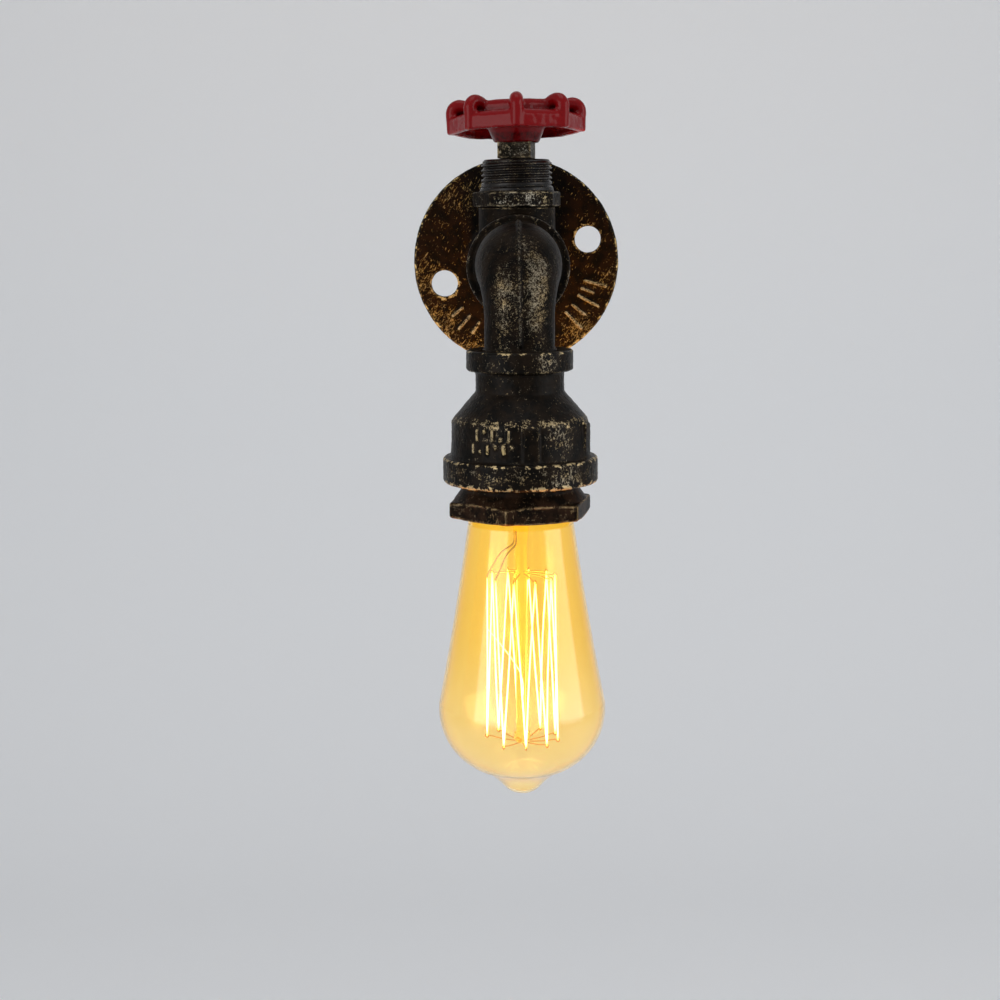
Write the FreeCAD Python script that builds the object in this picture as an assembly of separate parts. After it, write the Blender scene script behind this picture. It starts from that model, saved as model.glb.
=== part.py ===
"""Wall sconce made of malleable iron pipe fittings, with a lobed tap handwheel as its switch.

A floor flange on the wall carries a tee, a street elbow, a bell reducer and a hexagon bushing in a
chain of pipe threads. The tee's branch points up and holds the tap bonnet, whose spindle turns the
rotary switch inside the tee. The reducer hides the lampholder, and a pear-shaped cage-filament bulb
hangs from it.

Millimetres. The origin is the centre of the flange's back face, +Z is up, the wall is the plane
Y = 0 and the lamp stands out from it towards -Y. Each piece is written to parts/NAME.step.
"""
import FreeCAD, Part
import math
import os

# Clearances, and the small flat left at the middle of a turned end
POLE_R = 0.25
RUNNING_GAP = 0.05
THREAD_GAP = 0.08
BODY_GAP = 0.3

# Pipe thread of the wall run, 3/4 inch, 14 turns an inch, as plain envelopes
PIPE_R = 13.22
PIPE_BORE_R = 10.3
PIPE_ENGAGED = 12.0
SOCKET_R = PIPE_R + THREAD_GAP
SOCKET_DEPTH = PIPE_ENGAGED + 1.0
MAKE_UP_GAP = 2.0

# Bands that stiffen the female ends of the 3/4 inch fittings
BAND_R = 18.8
BAND_WIDTH = 8.5
BAND_EDGE = 0.7

# Wall flange
FLANGE_R = 41.1
FLANGE_THICK = 5.0
FLANGE_RIM = 1.4
FLANGE_HUB_R = 17.6
FLANGE_HUB_FACE = 16.0
FLANGE_HUB_FILLET = 3.0
SCREW_HOLE_R = 5.1
SCREW_CIRCLE_R = 30.0
SCREW_HOLES = 4
SCREW_HOLES_TURN = 16.6

# Tee: its run lies along Y, its branch points up
TEE_HALF_RUN = 25.0
TEE_RUN_R = 16.0
TEE_BRANCH_R = 14.6
TEE_BRANCH_TOP = 21.5
TEE_BORE_R = 12.4

# Tap bonnet: an eight-sided collar with a threaded neck above it
BONNET_SCREW_R = 11.0
BONNET_FOOT = 10.5
COLLAR_ACROSS_CORNERS = 33.6
COLLAR_TALL = 5.7
COLLAR_TURN = 7.2
COLLAR_SIDES = 8
COLLAR_DROP = 0.45
NECK_R = 13.3
NECK_TALL = 10.8
NECK_RELIEF_R = 12.0
NECK_RELIEF_TALL = 1.0
NECK_CHAMFER = 1.3
PACKING_R = 8.0
PACKING_TALL = 5.0
GLAND_TALL = 2.2
SWITCH_SPIGOT_R = 8.5
BONNET_SHOULDER = 19.0

# Spindle
SPINDLE_R = 5.0
SQUARE_SIDE = 12.6
SQUARE_TALL = 6.3
SQUARE_TURN = -9.5
TANG_SIDE = 8.0
TANG_TALL = 7.6
DRIVE_R = 3.4
DRIVE_FLAT = 2.4
DRIVE_FOOT = 2.0
DRIVE_TOP = 16.0
CLIP_THICK = 0.9
CLIP_R = 7.4
CLIP_GROOVE_R = 4.1
CLIP_OPENING = 6.0

# Handwheel, cast with eight finger lobes at the corners of its rim
WHEEL_R = 25.9
WHEEL_LOBES = 8
WHEEL_CORNER_R = WHEEL_R - 0.5
WHEEL_FACET = WHEEL_CORNER_R * math.cos(math.pi / WHEEL_LOBES)
WHEEL_WALL = 2.1
WHEEL_SKIRT_TALL = 3.5
WHEEL_SHOULDER_TALL = 5.6
WHEEL_RIM_TALL = 10.1
WHEEL_SHOULDER_DEEP = 1.8
WHEEL_CROWN_DEEP = 7.4
WHEEL_RIM_DEEP = 9.0
WHEEL_DIP = 0.4
WHEEL_WEB_THICK = 1.7
WHEEL_LOBE_R = 2.1
WHEEL_LOBE_RISE = 12.0
WHEEL_LOBE_CREST = 5.1
WHEEL_LOBE_LONG = 9.3
WHEEL_SPOKES = 4
WHEEL_SPOKE_WIDE = 6.4
WHEEL_SPOKE_THICK = 2.8
WHEEL_HUB_FOOT_R = 8.2
WHEEL_HUB_TOP_R = 10.4
WHEEL_HUB_TALL = 9.4
WHEEL_RIM_LIFT = 3.45
WHEEL_SIT = 3.6
WHEEL_SIT_TURN = 15.0
WHEEL_WASHER_R = 6.4
WHEEL_WASHER_THICK = 1.0
WHEEL_SCREW_HEAD_R = 4.6
WHEEL_SCREW_HEAD_TALL = 2.8
WHEEL_SCREW_R = 2.0
WHEEL_SCREW_LONG = 7.0

# Rotary switch inside the tee
SWITCH_R = 9.5
SWITCH_WALL = 1.5
SWITCH_TOP = 9.5
SWITCH_SPLIT = -3.0
SWITCH_BOTTOM = -5.5
ROTOR_R = 6.6
ROTOR_FOOT = 0.6
ROTOR_TALL = 4.6
BRIDGE_THICK = 0.5
BRIDGE_WIDE = 3.0
CONTACT_OFFSET = 5.0
CONTACT_WIDE = 2.4
CONTACT_THICK = 0.8
TAB_WIDE = 3.2
TAB_LEG = 3.0
TERMINAL_SCREW_R = 1.7
TERMINAL_SCREW_TALL = 1.2
TERMINAL_SHANK_R = 0.9

# Street elbow: female end to the wall, male end down
ELBOW_TO_FACE = 32.0
ELBOW_BODY_R = 15.6
ELBOW_NECK_R = 12.4
ELBOW_BEND = 16.5
ELBOW_BORE_R = 10.2
ELBOW_SEAM_WIDE = 1.3
ELBOW_SEAM_PROUD = 0.5
ELBOW_STEPS = 7
ELBOW_HEEL = 0.9

# Bell reducer, its heights counted down from the pipe axis
REDUCER_TOP = -27.2
REDUCER_BAND_TALL = 7.7
REDUCER_NECK_R = 15.7
REDUCER_NECK_FOOT = -43.2
REDUCER_BODY_TOP = -52.4
REDUCER_BODY_R = 24.0
REDUCER_BODY_FOOT_R = 24.7
REDUCER_BAND_TOP = -64.5
REDUCER_LOW_BAND_R = 27.35
REDUCER_FACE = -74.0
REDUCER_LOW_EDGE = 0.9
REDUCER_THROAT_R = 12.3
REDUCER_THROAT_FOOT = -44.8
REDUCER_CHAMBER_R = 19.5
REDUCER_CHAMBER_TOP = -51.8
REDUCER_STEP = -60.3
REDUCER_RIB_ANGLES = (8.0, 70.0, 188.0, 250.0)
REDUCER_RIB_WIDE = 5.6
REDUCER_RIB_PROUD = 1.25

# Hexagon bushing, bored through for the bulb's neck
BUSH_SCREW_R = 20.95
BUSH_HEAD_GAP = 5.5
BUSH_ACROSS_FLATS = 45.8
BUSH_HEAD_TALL = 6.4
BUSH_TURN = -11.8
BUSH_BORE_R = 19.3
BUSH_SCREW_LONG = 10.1
BUSH_CORNER_DROP = 0.9

# Lampholder, drawn round the bulb's cap
CAP_R = 13.2
CAP_PLAY = 0.6
SHELL_WALL = 0.6
SHELL_R = CAP_R + CAP_PLAY + SHELL_WALL
SHELL_LIP_R = SHELL_R - 3.4
HOLDER_WALL = 3.0
HOLDER_BOSS_R = REDUCER_THROAT_R - 0.8
HOLDER_TOP = -43.7
HOLDER_BOSS_FOOT = -47.2
HOLDER_SHOULDER = -51.4
HOLDER_R = SHELL_R + HOLDER_WALL
HOLDER_FLANGE_R = BUSH_SCREW_R - 0.65
HOLDER_FOOT = -76.8
HOLDER_CEILING = -50.2
HOLDER_CONTACT_WELL_R = SHELL_LIP_R - 4.0
GASKET_THICK = 0.8
SHELL_TOP = -52.4
SHELL_FOOT = -74.3
HOLDER_TERMINAL_OFFSET = 6.6
TERMINAL_PLATE = 0.6
TONGUE_WIDE = 4.0
TONGUE_THICK = 0.4

# Bulb, pear shaped, its heights counted down from the pipe axis
BULB_TIP = -188.0
BULB_R = 29.9
BULB_CENTRE = -156.3
BULB_EXIT_R = 18.7
BULB_EXIT = -88.6
BULB_NECK_R = CAP_R - 0.2
BULB_GLASS = 0.8
BULB_CONE_ANGLE = 6.0
BULB_END_ANGLE = 61.0
BULB_WAIST = 0.45
BULB_END_R = 23.7
BULB_PIP_R = 9.0
BULB_PIP_ANGLE = 49.0
BULB_DIP = 0.8
CAP_FOOT = -76.6
CAP_TOP = -56.1
CAP_WALL = 0.5
CAP_LAP = 1.0
CAP_CROWN_R = CAP_R - 3.7
CAP_CROWN = -54.0
CAP_CONTACT_R = 0.35 * CAP_R
CAP_CONTACT_TOP = -51.1
STEM_TUBE_R = 2.9
STEM_PRESS = -94.5
STEM_ROD_R = 2.1
STEM_FLARE_TALL = 0.6

# Cage filament
CAGE_TOP = -108.0
CAGE_FOOT = -167.6
CAGE_TOP_R = 12.1
CAGE_FOOT_R = 13.1
CAGE_HOOKS = 10
FILAMENT_R = 0.3
HOOK_WIRE_R = 0.22
CAGE_TURN = 221.0
HOOK_RISE = 1.2
LEAD_ROOT_R = 3.2
BUTTON_R = 2.9
BUTTON_TALL = 2.0
LEAD_R = 0.35

# Wires inside the pipes
WIRE_R = 1.1
WIRE_LEVEL = -7.2
WIRE_START = 0.6
NEUTRAL_OFFSET = 4.6
LIVE_TAIL = 8.0

# Places that follow from the sizes above
UP = FreeCAD.Vector(0, 0, 1)
TEE_REAR_FACE = FLANGE_HUB_FACE + MAKE_UP_GAP
TOWER_Y = -(TEE_REAR_FACE + TEE_HALF_RUN)
TEE_FRONT_FACE = TEE_REAR_FACE + 2 * TEE_HALF_RUN
ELBOW_FACE = TEE_FRONT_FACE + MAKE_UP_GAP
LAMP_Y = -(ELBOW_FACE + ELBOW_TO_FACE)
GLASS_TOP = CAP_FOOT + CAP_LAP
COLLAR_TOP = TEE_BRANCH_TOP + COLLAR_TALL
NECK_TOP = COLLAR_TOP + NECK_RELIEF_TALL + NECK_TALL
SQUARE_FOOT = NECK_TOP + BODY_GAP
SQUARE_TOP = SQUARE_FOOT + SQUARE_TALL
WHEEL_FOOT = SQUARE_TOP
RIM_FOOT = WHEEL_FOOT + WHEEL_RIM_LIFT
BUSH_TOP = REDUCER_FACE - BUSH_HEAD_GAP
BUSH_FACE = BUSH_TOP - BUSH_HEAD_TALL
BUSH_INNER_END = REDUCER_FACE + BUSH_SCREW_LONG
PARTS = "parts"


def point(radius, height):
    """A point of an outline that is turned about the Z axis."""
    return FreeCAD.Vector(radius, 0, height)


def outline_face(start, *moves):
    """A closed face in the XZ plane. A move is (r, z), a line, or (r, z, via_r, via_z), an arc."""
    edges = []
    here = point(*start)
    for move in moves:
        there = point(move[0], move[1])
        if len(move) == 4:
            edges.append(Part.Arc(here, point(move[2], move[3]), there).toShape())
        else:
            edges.append(Part.makeLine(here, there))
        here = there
    first = point(*start)
    if not here.isEqual(first, 1e-7):
        edges.append(Part.makeLine(here, first))
    return Part.Face(Part.Wire(edges))


def turned(start, *moves):
    """A solid of revolution about the Z axis."""
    return outline_face(start, *moves).revolve(FreeCAD.Vector(), UP, 360)


def ring(outer, inner, low, high):
    """A plain ring or tube between two heights."""
    blank = Part.makeCylinder(outer, high - low, point(0, low))
    return blank.cut(Part.makeCylinder(inner, high - low + 2, point(0, low - 1)))


def prism(sides, across_corners, low, high, turn):
    """A regular prism with a corner towards -Y, turned about the Z axis by an angle in degrees."""
    corners = []
    for number in range(sides + 1):
        angle = math.radians(turn - 90 + 360 * number / sides)
        corners.append(
            FreeCAD.Vector(across_corners / 2 * math.cos(angle), across_corners / 2 * math.sin(angle), low)
        )
    return Part.Face(Part.makePolygon(corners)).extrude(UP * (high - low))


def rounded_prism(sides, across_corners, low, high, turn, drop):
    """A prism whose corners are turned off to a cone above and below, as a nut's are."""
    corner = across_corners / 2
    flat = corner * math.cos(math.pi / sides)
    cone = turned(
        (0, low), (flat, low), (corner + 0.01, low + drop), (corner + 0.01, high - drop), (flat, high), (0, high)
    )
    return prism(sides, across_corners, low, high, turn).common(cone)


def square_bar(side, low, high, turn):
    """A square bar along Z."""
    bar = Part.makeBox(side, side, high - low, FreeCAD.Vector(-side / 2, -side / 2, low))
    bar.rotate(FreeCAD.Vector(), UP, turn)
    return bar


def towards_room(shape):
    """Lays a solid built about Z along the pipe run, its +Z end away from the wall."""
    shape.rotate(FreeCAD.Vector(), FreeCAD.Vector(1, 0, 0), 90)
    return shape


def at_tower(shape):
    """Moves a solid built about Z onto the tap's axis."""
    shape.translate(FreeCAD.Vector(0, TOWER_Y, 0))
    return shape


def at_lamp(shape):
    """Moves a solid built about Z onto the lamp's axis."""
    shape.translate(FreeCAD.Vector(0, LAMP_Y, 0))
    return shape


def turned_copies(shape, count):
    """Copies of a solid, evenly spaced about the Z axis."""
    copies = []
    for number in range(count):
        copy = shape.copy()
        copy.rotate(FreeCAD.Vector(), UP, 360 * number / count)
        copies.append(copy)
    return copies


def rod(start, end, radius):
    """A round rod from one point to another."""
    along = end - start
    return Part.makeCylinder(radius, along.Length, start, along)


def fine_rod(start, end, radius):
    """A rod too thin to show its section, with six sides."""
    along = end - start
    section = prism(6, 2 * radius, 0, along.Length, 0)
    section.Placement = FreeCAD.Placement(start, FreeCAD.Rotation(UP, along))
    return section


def wall_flange():
    """Round plate with four screw holes and a threaded hub."""
    body = turned(
        (0, 0),
        (FLANGE_R, 0),
        (FLANGE_R, FLANGE_THICK - FLANGE_RIM),
        (FLANGE_R - FLANGE_RIM, FLANGE_THICK, FLANGE_R - 0.3 * FLANGE_RIM, FLANGE_THICK - 0.3 * FLANGE_RIM),
        (FLANGE_HUB_R + FLANGE_HUB_FILLET, FLANGE_THICK),
        (
            FLANGE_HUB_R,
            FLANGE_THICK + FLANGE_HUB_FILLET,
            FLANGE_HUB_R + 0.3 * FLANGE_HUB_FILLET,
            FLANGE_THICK + 0.3 * FLANGE_HUB_FILLET,
        ),
        (FLANGE_HUB_R, FLANGE_HUB_FACE - BAND_EDGE),
        (FLANGE_HUB_R - BAND_EDGE, FLANGE_HUB_FACE),
        (0, FLANGE_HUB_FACE),
    )
    body = body.cut(Part.makeCylinder(SOCKET_R, FLANGE_HUB_FACE + 2, point(0, -1)))
    for number in range(SCREW_HOLES):
        angle = math.radians(SCREW_HOLES_TURN + 360 * number / SCREW_HOLES)
        centre = FreeCAD.Vector(SCREW_CIRCLE_R * math.cos(angle), SCREW_CIRCLE_R * math.sin(angle), -1)
        body = body.cut(Part.makeCylinder(SCREW_HOLE_R, FLANGE_THICK + 2, centre))
    return towards_room(body)


def close_nipple(from_wall):
    """Short pipe threaded at both ends, whose make-up gap starts at a distance from the wall."""
    low = from_wall - PIPE_ENGAGED
    high = from_wall + MAKE_UP_GAP + PIPE_ENGAGED
    edge = 1.0
    body = turned(
        (PIPE_BORE_R, low),
        (PIPE_R - edge, low),
        (PIPE_R, low + edge),
        (PIPE_R, high - edge),
        (PIPE_R - edge, high),
        (PIPE_BORE_R, high),
    )
    return towards_room(body)


def tee_body():
    """Tee whose run goes from the flange to the elbow and whose branch carries the bonnet."""
    run = turned(
        (0, -TEE_HALF_RUN),
        (BAND_R - BAND_EDGE, -TEE_HALF_RUN),
        (BAND_R, -TEE_HALF_RUN + BAND_EDGE),
        (BAND_R, -TEE_HALF_RUN + BAND_WIDTH - BAND_EDGE),
        (BAND_R - BAND_EDGE, -TEE_HALF_RUN + BAND_WIDTH),
        (TEE_RUN_R, -TEE_HALF_RUN + BAND_WIDTH),
        (TEE_RUN_R, TEE_HALF_RUN - BAND_WIDTH),
        (BAND_R - BAND_EDGE, TEE_HALF_RUN - BAND_WIDTH),
        (BAND_R, TEE_HALF_RUN - BAND_WIDTH + BAND_EDGE),
        (BAND_R, TEE_HALF_RUN - BAND_EDGE),
        (BAND_R - BAND_EDGE, TEE_HALF_RUN),
        (0, TEE_HALF_RUN),
    )
    run = at_tower(towards_room(run))
    branch = at_tower(Part.makeCylinder(TEE_BRANCH_R, TEE_BRANCH_TOP))
    body = run.fuse(branch)
    inside = Part.makeCylinder(TEE_BORE_R, 2 * TEE_HALF_RUN + 2, point(0, -TEE_HALF_RUN - 1))
    for end in (-TEE_HALF_RUN - 1, TEE_HALF_RUN - SOCKET_DEPTH):
        inside = inside.fuse(Part.makeCylinder(SOCKET_R, SOCKET_DEPTH + 1, point(0, end)))
    body = body.cut(at_tower(towards_room(inside)))
    return body.cut(at_tower(Part.makeCylinder(BONNET_SCREW_R + THREAD_GAP, TEE_BRANCH_TOP + 1)))


def bonnet():
    """Tap bonnet: screwed foot, eight-sided collar and threaded neck, bored for the spindle."""
    foot = Part.makeCylinder(BONNET_SCREW_R, TEE_BRANCH_TOP - BONNET_FOOT, point(0, BONNET_FOOT))
    collar = rounded_prism(COLLAR_SIDES, COLLAR_ACROSS_CORNERS, TEE_BRANCH_TOP, COLLAR_TOP, COLLAR_TURN, COLLAR_DROP)
    relief_top = COLLAR_TOP + NECK_RELIEF_TALL
    neck = turned(
        (0, COLLAR_TOP),
        (NECK_RELIEF_R, COLLAR_TOP),
        (NECK_RELIEF_R, relief_top),
        (NECK_R, relief_top),
        (NECK_R, NECK_TOP - NECK_CHAMFER),
        (NECK_R - NECK_CHAMFER, NECK_TOP),
        (0, NECK_TOP),
    )
    body = foot.fuse([collar, neck])
    body = body.cut(Part.makeCylinder(SPINDLE_R + RUNNING_GAP, NECK_TOP, point(0, 1)))
    packing_room = PACKING_TALL + GLAND_TALL
    body = body.cut(Part.makeCylinder(PACKING_R, packing_room + 1, point(0, NECK_TOP - packing_room)))
    body = body.cut(Part.makeCylinder(SWITCH_SPIGOT_R, BONNET_SHOULDER - BONNET_FOOT + 1, point(0, BONNET_FOOT - 1)))
    return at_tower(body.removeSplitter())


def spindle():
    """Round shaft with a square shank, a square tang for the wheel and a flatted drive end."""
    shaft = Part.makeCylinder(SPINDLE_R, SQUARE_FOOT - DRIVE_TOP, point(0, DRIVE_TOP))
    shank = square_bar(SQUARE_SIDE, SQUARE_FOOT, SQUARE_TOP, SQUARE_TURN)
    tang = square_bar(TANG_SIDE, SQUARE_TOP, SQUARE_TOP + TANG_TALL, SQUARE_TURN)
    drive = Part.makeCylinder(DRIVE_R, DRIVE_TOP - DRIVE_FOOT, point(0, DRIVE_FOOT))
    flat = Part.makeBox(2 * DRIVE_R, DRIVE_R, DRIVE_TOP - DRIVE_FOOT, FreeCAD.Vector(-DRIVE_R, DRIVE_FLAT, DRIVE_FOOT))
    body = shaft.fuse([shank, tang, drive.cut(flat)])
    groove_top = BONNET_SHOULDER - BODY_GAP
    body = body.cut(ring(SPINDLE_R + 1, CLIP_GROOVE_R, groove_top - CLIP_THICK, groove_top))
    tapped = WHEEL_SCREW_LONG + 1
    body = body.cut(Part.makeCylinder(WHEEL_SCREW_R + THREAD_GAP, tapped, point(0, SQUARE_TOP + TANG_TALL - tapped)))
    return at_tower(body)


def spindle_clip():
    """Open retaining ring that keeps the spindle in the bonnet."""
    top = BONNET_SHOULDER - BODY_GAP
    clip = ring(CLIP_R, CLIP_GROOVE_R + RUNNING_GAP, top - CLIP_THICK, top)
    mouth = Part.makeBox(CLIP_OPENING, CLIP_R + 1, CLIP_THICK + 2, FreeCAD.Vector(-CLIP_OPENING / 2, 0, top - CLIP_THICK - 1))
    return at_tower(clip.cut(mouth))


def gland_packing():
    """Soft packing round the spindle."""
    foot = NECK_TOP - GLAND_TALL - PACKING_TALL
    return at_tower(ring(PACKING_R - THREAD_GAP, SPINDLE_R + RUNNING_GAP, foot, foot + PACKING_TALL))


def gland_ring():
    """Brass ring that presses on the packing, level with the top of the neck."""
    return at_tower(ring(PACKING_R - THREAD_GAP, SPINDLE_R + RUNNING_GAP, NECK_TOP - GLAND_TALL, NECK_TOP))


def wheel_rim():
    """Rim in eight straight lengths, still solid: plain skirt, round shoulder, dip and crown."""
    skirt = WHEEL_FACET
    shoulder = skirt - WHEEL_SHOULDER_DEEP
    crown = skirt - WHEEL_CROWN_DEEP
    inner = skirt - WHEEL_RIM_DEEP
    floor = RIM_FOOT + WHEEL_SHOULDER_TALL - WHEEL_DIP
    top = RIM_FOOT + WHEEL_RIM_TALL
    section = outline_face(
        (skirt, RIM_FOOT),
        (skirt, RIM_FOOT + WHEEL_SKIRT_TALL),
        (
            shoulder,
            RIM_FOOT + WHEEL_SHOULDER_TALL,
            skirt - 0.25 * WHEEL_SHOULDER_DEEP,
            RIM_FOOT + 0.35 * WHEEL_SKIRT_TALL + 0.65 * WHEEL_SHOULDER_TALL,
        ),
        (crown + 3.0, floor, 0.5 * (shoulder + crown + 3.0), floor + 0.1),
        (crown + 1.3, floor + 2.0, crown + 1.7, floor + 0.5),
        (crown, top, crown + 0.9, top - 0.5),
        (inner, top - 1.9, crown - 1.2, top - 0.5),
        (inner, RIM_FOOT),
    )
    half_turn = 180 / WHEEL_LOBES
    half_wide = WHEEL_CORNER_R * math.sin(math.radians(half_turn))
    section.translate(FreeCAD.Vector(0, half_wide, 0))
    length = section.extrude(FreeCAD.Vector(0, -2 * half_wide, 0))
    wedge = [
        FreeCAD.Vector(0, 0, RIM_FOOT - 1),
        FreeCAD.Vector(2 * WHEEL_FACET, -2 * half_wide, RIM_FOOT - 1),
        FreeCAD.Vector(2 * WHEEL_FACET, 2 * half_wide, RIM_FOOT - 1),
    ]
    length = length.common(Part.Face(Part.makePolygon(wedge + wedge[:1])).extrude(UP * (WHEEL_RIM_TALL + 2)))
    length.rotate(FreeCAD.Vector(), UP, half_turn)
    lengths = turned_copies(length, WHEEL_LOBES)
    return lengths[0].fuse(lengths[1:]).removeSplitter()


def wheel_lobe():
    """One finger lobe: a round ridge over a corner of the rim, towards -Y."""
    foot_r = WHEEL_CORNER_R + 0.1 - WHEEL_LOBE_R
    outer = WHEEL_R - WHEEL_LOBE_R
    crest_r = WHEEL_R - WHEEL_LOBE_CREST
    inner = WHEEL_R - WHEEL_LOBE_LONG
    shoulder = RIM_FOOT + 0.62 * WHEEL_LOBE_RISE
    crest = RIM_FOOT + WHEEL_LOBE_RISE - WHEEL_LOBE_R
    end = RIM_FOOT + WHEEL_RIM_TALL - WHEEL_LOBE_R

    def place(radius, height):
        return FreeCAD.Vector(0, -radius, height)

    path = Part.Wire(
        [
            Part.makeLine(place(foot_r, RIM_FOOT), place(outer, shoulder)),
            Part.Arc(
                place(outer, shoulder),
                place(0.3 * crest_r + 0.7 * outer, 0.28 * shoulder + 0.72 * crest),
                place(crest_r, crest),
            ).toShape(),
            Part.Arc(
                place(crest_r, crest),
                place(0.5 * (inner + crest_r), 0.3 * end + 0.7 * crest),
                place(inner, end),
            ).toShape(),
        ]
    )
    along = place(outer, shoulder) - place(foot_r, RIM_FOOT)
    section = Part.Wire(Part.makeCircle(WHEEL_LOBE_R, place(foot_r, RIM_FOOT), along))
    level = Part.makeBox(2 * WHEEL_R, 2 * WHEEL_R, 10, FreeCAD.Vector(-WHEEL_R, -2 * WHEEL_R, RIM_FOOT - 10))
    return path.makePipeShell([section], True, False).cut(level)


def wheel_hollow():
    """The room under the wheel, inside its skirt and below its web."""
    across = 2 * (WHEEL_FACET - WHEEL_WALL) / math.cos(math.pi / WHEEL_LOBES)
    web_foot = RIM_FOOT + WHEEL_SHOULDER_TALL - WHEEL_DIP - WHEEL_WEB_THICK
    return prism(WHEEL_LOBES, across, RIM_FOOT - 1, web_foot, 0)


def wheel_spoke():
    """One spoke towards -Y, from the hub up to the rim's web."""
    low = WHEEL_FOOT + 0.38 * WHEEL_HUB_TALL
    rise = RIM_FOOT + WHEEL_SHOULDER_TALL + 2.0 - low - WHEEL_SPOKE_THICK
    reach = WHEEL_FACET - WHEEL_RIM_DEEP + 1.5
    root = WHEEL_HUB_FOOT_R - 1.0
    side = [
        FreeCAD.Vector(-WHEEL_SPOKE_WIDE / 2, -root, low),
        FreeCAD.Vector(-WHEEL_SPOKE_WIDE / 2, -reach, low + rise),
        FreeCAD.Vector(-WHEEL_SPOKE_WIDE / 2, -reach, low + rise + WHEEL_SPOKE_THICK),
        FreeCAD.Vector(-WHEEL_SPOKE_WIDE / 2, -root, low + WHEEL_SPOKE_THICK),
    ]
    return Part.Face(Part.makePolygon(side + side[:1])).extrude(FreeCAD.Vector(WHEEL_SPOKE_WIDE, 0, 0))


def handwheel():
    """Cast handwheel: a rim with eight lobes and four spokes that sits askew on a tapered hub."""
    hub_top = WHEEL_FOOT + WHEEL_HUB_TALL
    hub = turned(
        (0, WHEEL_FOOT),
        (WHEEL_HUB_FOOT_R, WHEEL_FOOT),
        (WHEEL_HUB_TOP_R, WHEEL_FOOT + 0.55 * WHEEL_HUB_TALL),
        (WHEEL_HUB_TOP_R, hub_top - 1),
        (WHEEL_HUB_TOP_R - 1, hub_top),
        (0, hub_top),
    )
    rim = wheel_rim().fuse(turned_copies(wheel_lobe(), WHEEL_LOBES)).cut(wheel_hollow())
    rim = rim.fuse(turned_copies(wheel_spoke(), WHEEL_SPOKES))
    lean = math.radians(WHEEL_SIT_TURN)
    axis = FreeCAD.Vector(-math.cos(lean), -math.sin(lean), 0)
    rim.rotate(FreeCAD.Vector(0, 0, RIM_FOOT), axis, WHEEL_SIT)
    core = Part.makeCylinder(WHEEL_HUB_FOOT_R - 0.5, WHEEL_LOBE_RISE + 20, point(0, WHEEL_FOOT))
    socket = square_bar(TANG_SIDE + 2 * RUNNING_GAP, WHEEL_FOOT - 1, hub_top + 1, SQUARE_TURN)
    return at_tower(rim.cut(core).fuse(hub).cut(socket))


def wheel_washer():
    """Washer between the hub and its screw."""
    low = WHEEL_FOOT + WHEEL_HUB_TALL
    return at_tower(ring(WHEEL_WASHER_R, WHEEL_SCREW_R + 0.2, low, low + WHEEL_WASHER_THICK))


def wheel_screw():
    """Slotted pan-head screw that holds the wheel on its tang."""
    seat = WHEEL_FOOT + WHEEL_HUB_TALL + WHEEL_WASHER_THICK
    top = seat + WHEEL_SCREW_HEAD_TALL
    shank_foot = seat - WHEEL_SCREW_LONG
    body = turned(
        (0, shank_foot),
        (WHEEL_SCREW_R, shank_foot),
        (WHEEL_SCREW_R, seat),
        (WHEEL_SCREW_HEAD_R, seat),
        (WHEEL_SCREW_HEAD_R, seat + 0.8),
        (POLE_R, top, 0.72 * WHEEL_SCREW_HEAD_R, seat + 0.75 * WHEEL_SCREW_HEAD_TALL),
        (0, top),
    )
    slot = Part.makeBox(1.1, 2 * WHEEL_SCREW_HEAD_R + 2, 2, FreeCAD.Vector(-0.55, -WHEEL_SCREW_HEAD_R - 1, top - 1.3))
    slot.rotate(FreeCAD.Vector(), UP, 35)
    return at_tower(body.cut(slot))


def switch_cover():
    """Upper half of the switch housing, with the spigot that screws into the bonnet."""
    spigot_top = DRIVE_TOP - 1.5
    body = turned(
        (SWITCH_R - SWITCH_WALL, SWITCH_SPLIT),
        (SWITCH_R, SWITCH_SPLIT),
        (SWITCH_R, SWITCH_TOP),
        (SWITCH_SPIGOT_R - THREAD_GAP, SWITCH_TOP),
        (SWITCH_SPIGOT_R - THREAD_GAP, spigot_top),
        (SPINDLE_R + BODY_GAP, spigot_top),
        (SPINDLE_R + BODY_GAP, SWITCH_TOP - SWITCH_WALL),
        (SWITCH_R - SWITCH_WALL, SWITCH_TOP - SWITCH_WALL),
    )
    return at_tower(body)


def switch_base():
    """Lower half of the switch housing, which carries the fixed contacts."""
    body = Part.makeCylinder(SWITCH_R, SWITCH_SPLIT - SWITCH_BOTTOM, point(0, SWITCH_BOTTOM))
    for offset in (-CONTACT_OFFSET, CONTACT_OFFSET):
        hole = Part.makeCylinder(TERMINAL_SHANK_R + THREAD_GAP, 10, FreeCAD.Vector(0, offset, SWITCH_BOTTOM - 1))
        body = body.cut(hole)
    return at_tower(body)


def switch_rotor():
    """Moulded rotor on the flatted end of the spindle, with a hub that clears the base."""
    body = Part.makeCylinder(ROTOR_R, ROTOR_TALL, point(0, ROTOR_FOOT))
    bore = Part.makeCylinder(DRIVE_R + RUNNING_GAP, ROTOR_TALL + 2, point(0, ROTOR_FOOT + 1.0))
    keep = Part.makeBox(20, 10, 20, FreeCAD.Vector(-10, DRIVE_FLAT + RUNNING_GAP, -5))
    return at_tower(body.cut(bore.cut(keep)))


def rotor_bridge():
    """Copper strip under the rotor that joins the two fixed contacts."""
    long = 2 * (CONTACT_OFFSET + 1.0)
    strip = Part.makeBox(
        BRIDGE_WIDE, long, BRIDGE_THICK, FreeCAD.Vector(-BRIDGE_WIDE / 2, -long / 2, ROTOR_FOOT - BRIDGE_THICK)
    )
    return at_tower(strip)


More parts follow.
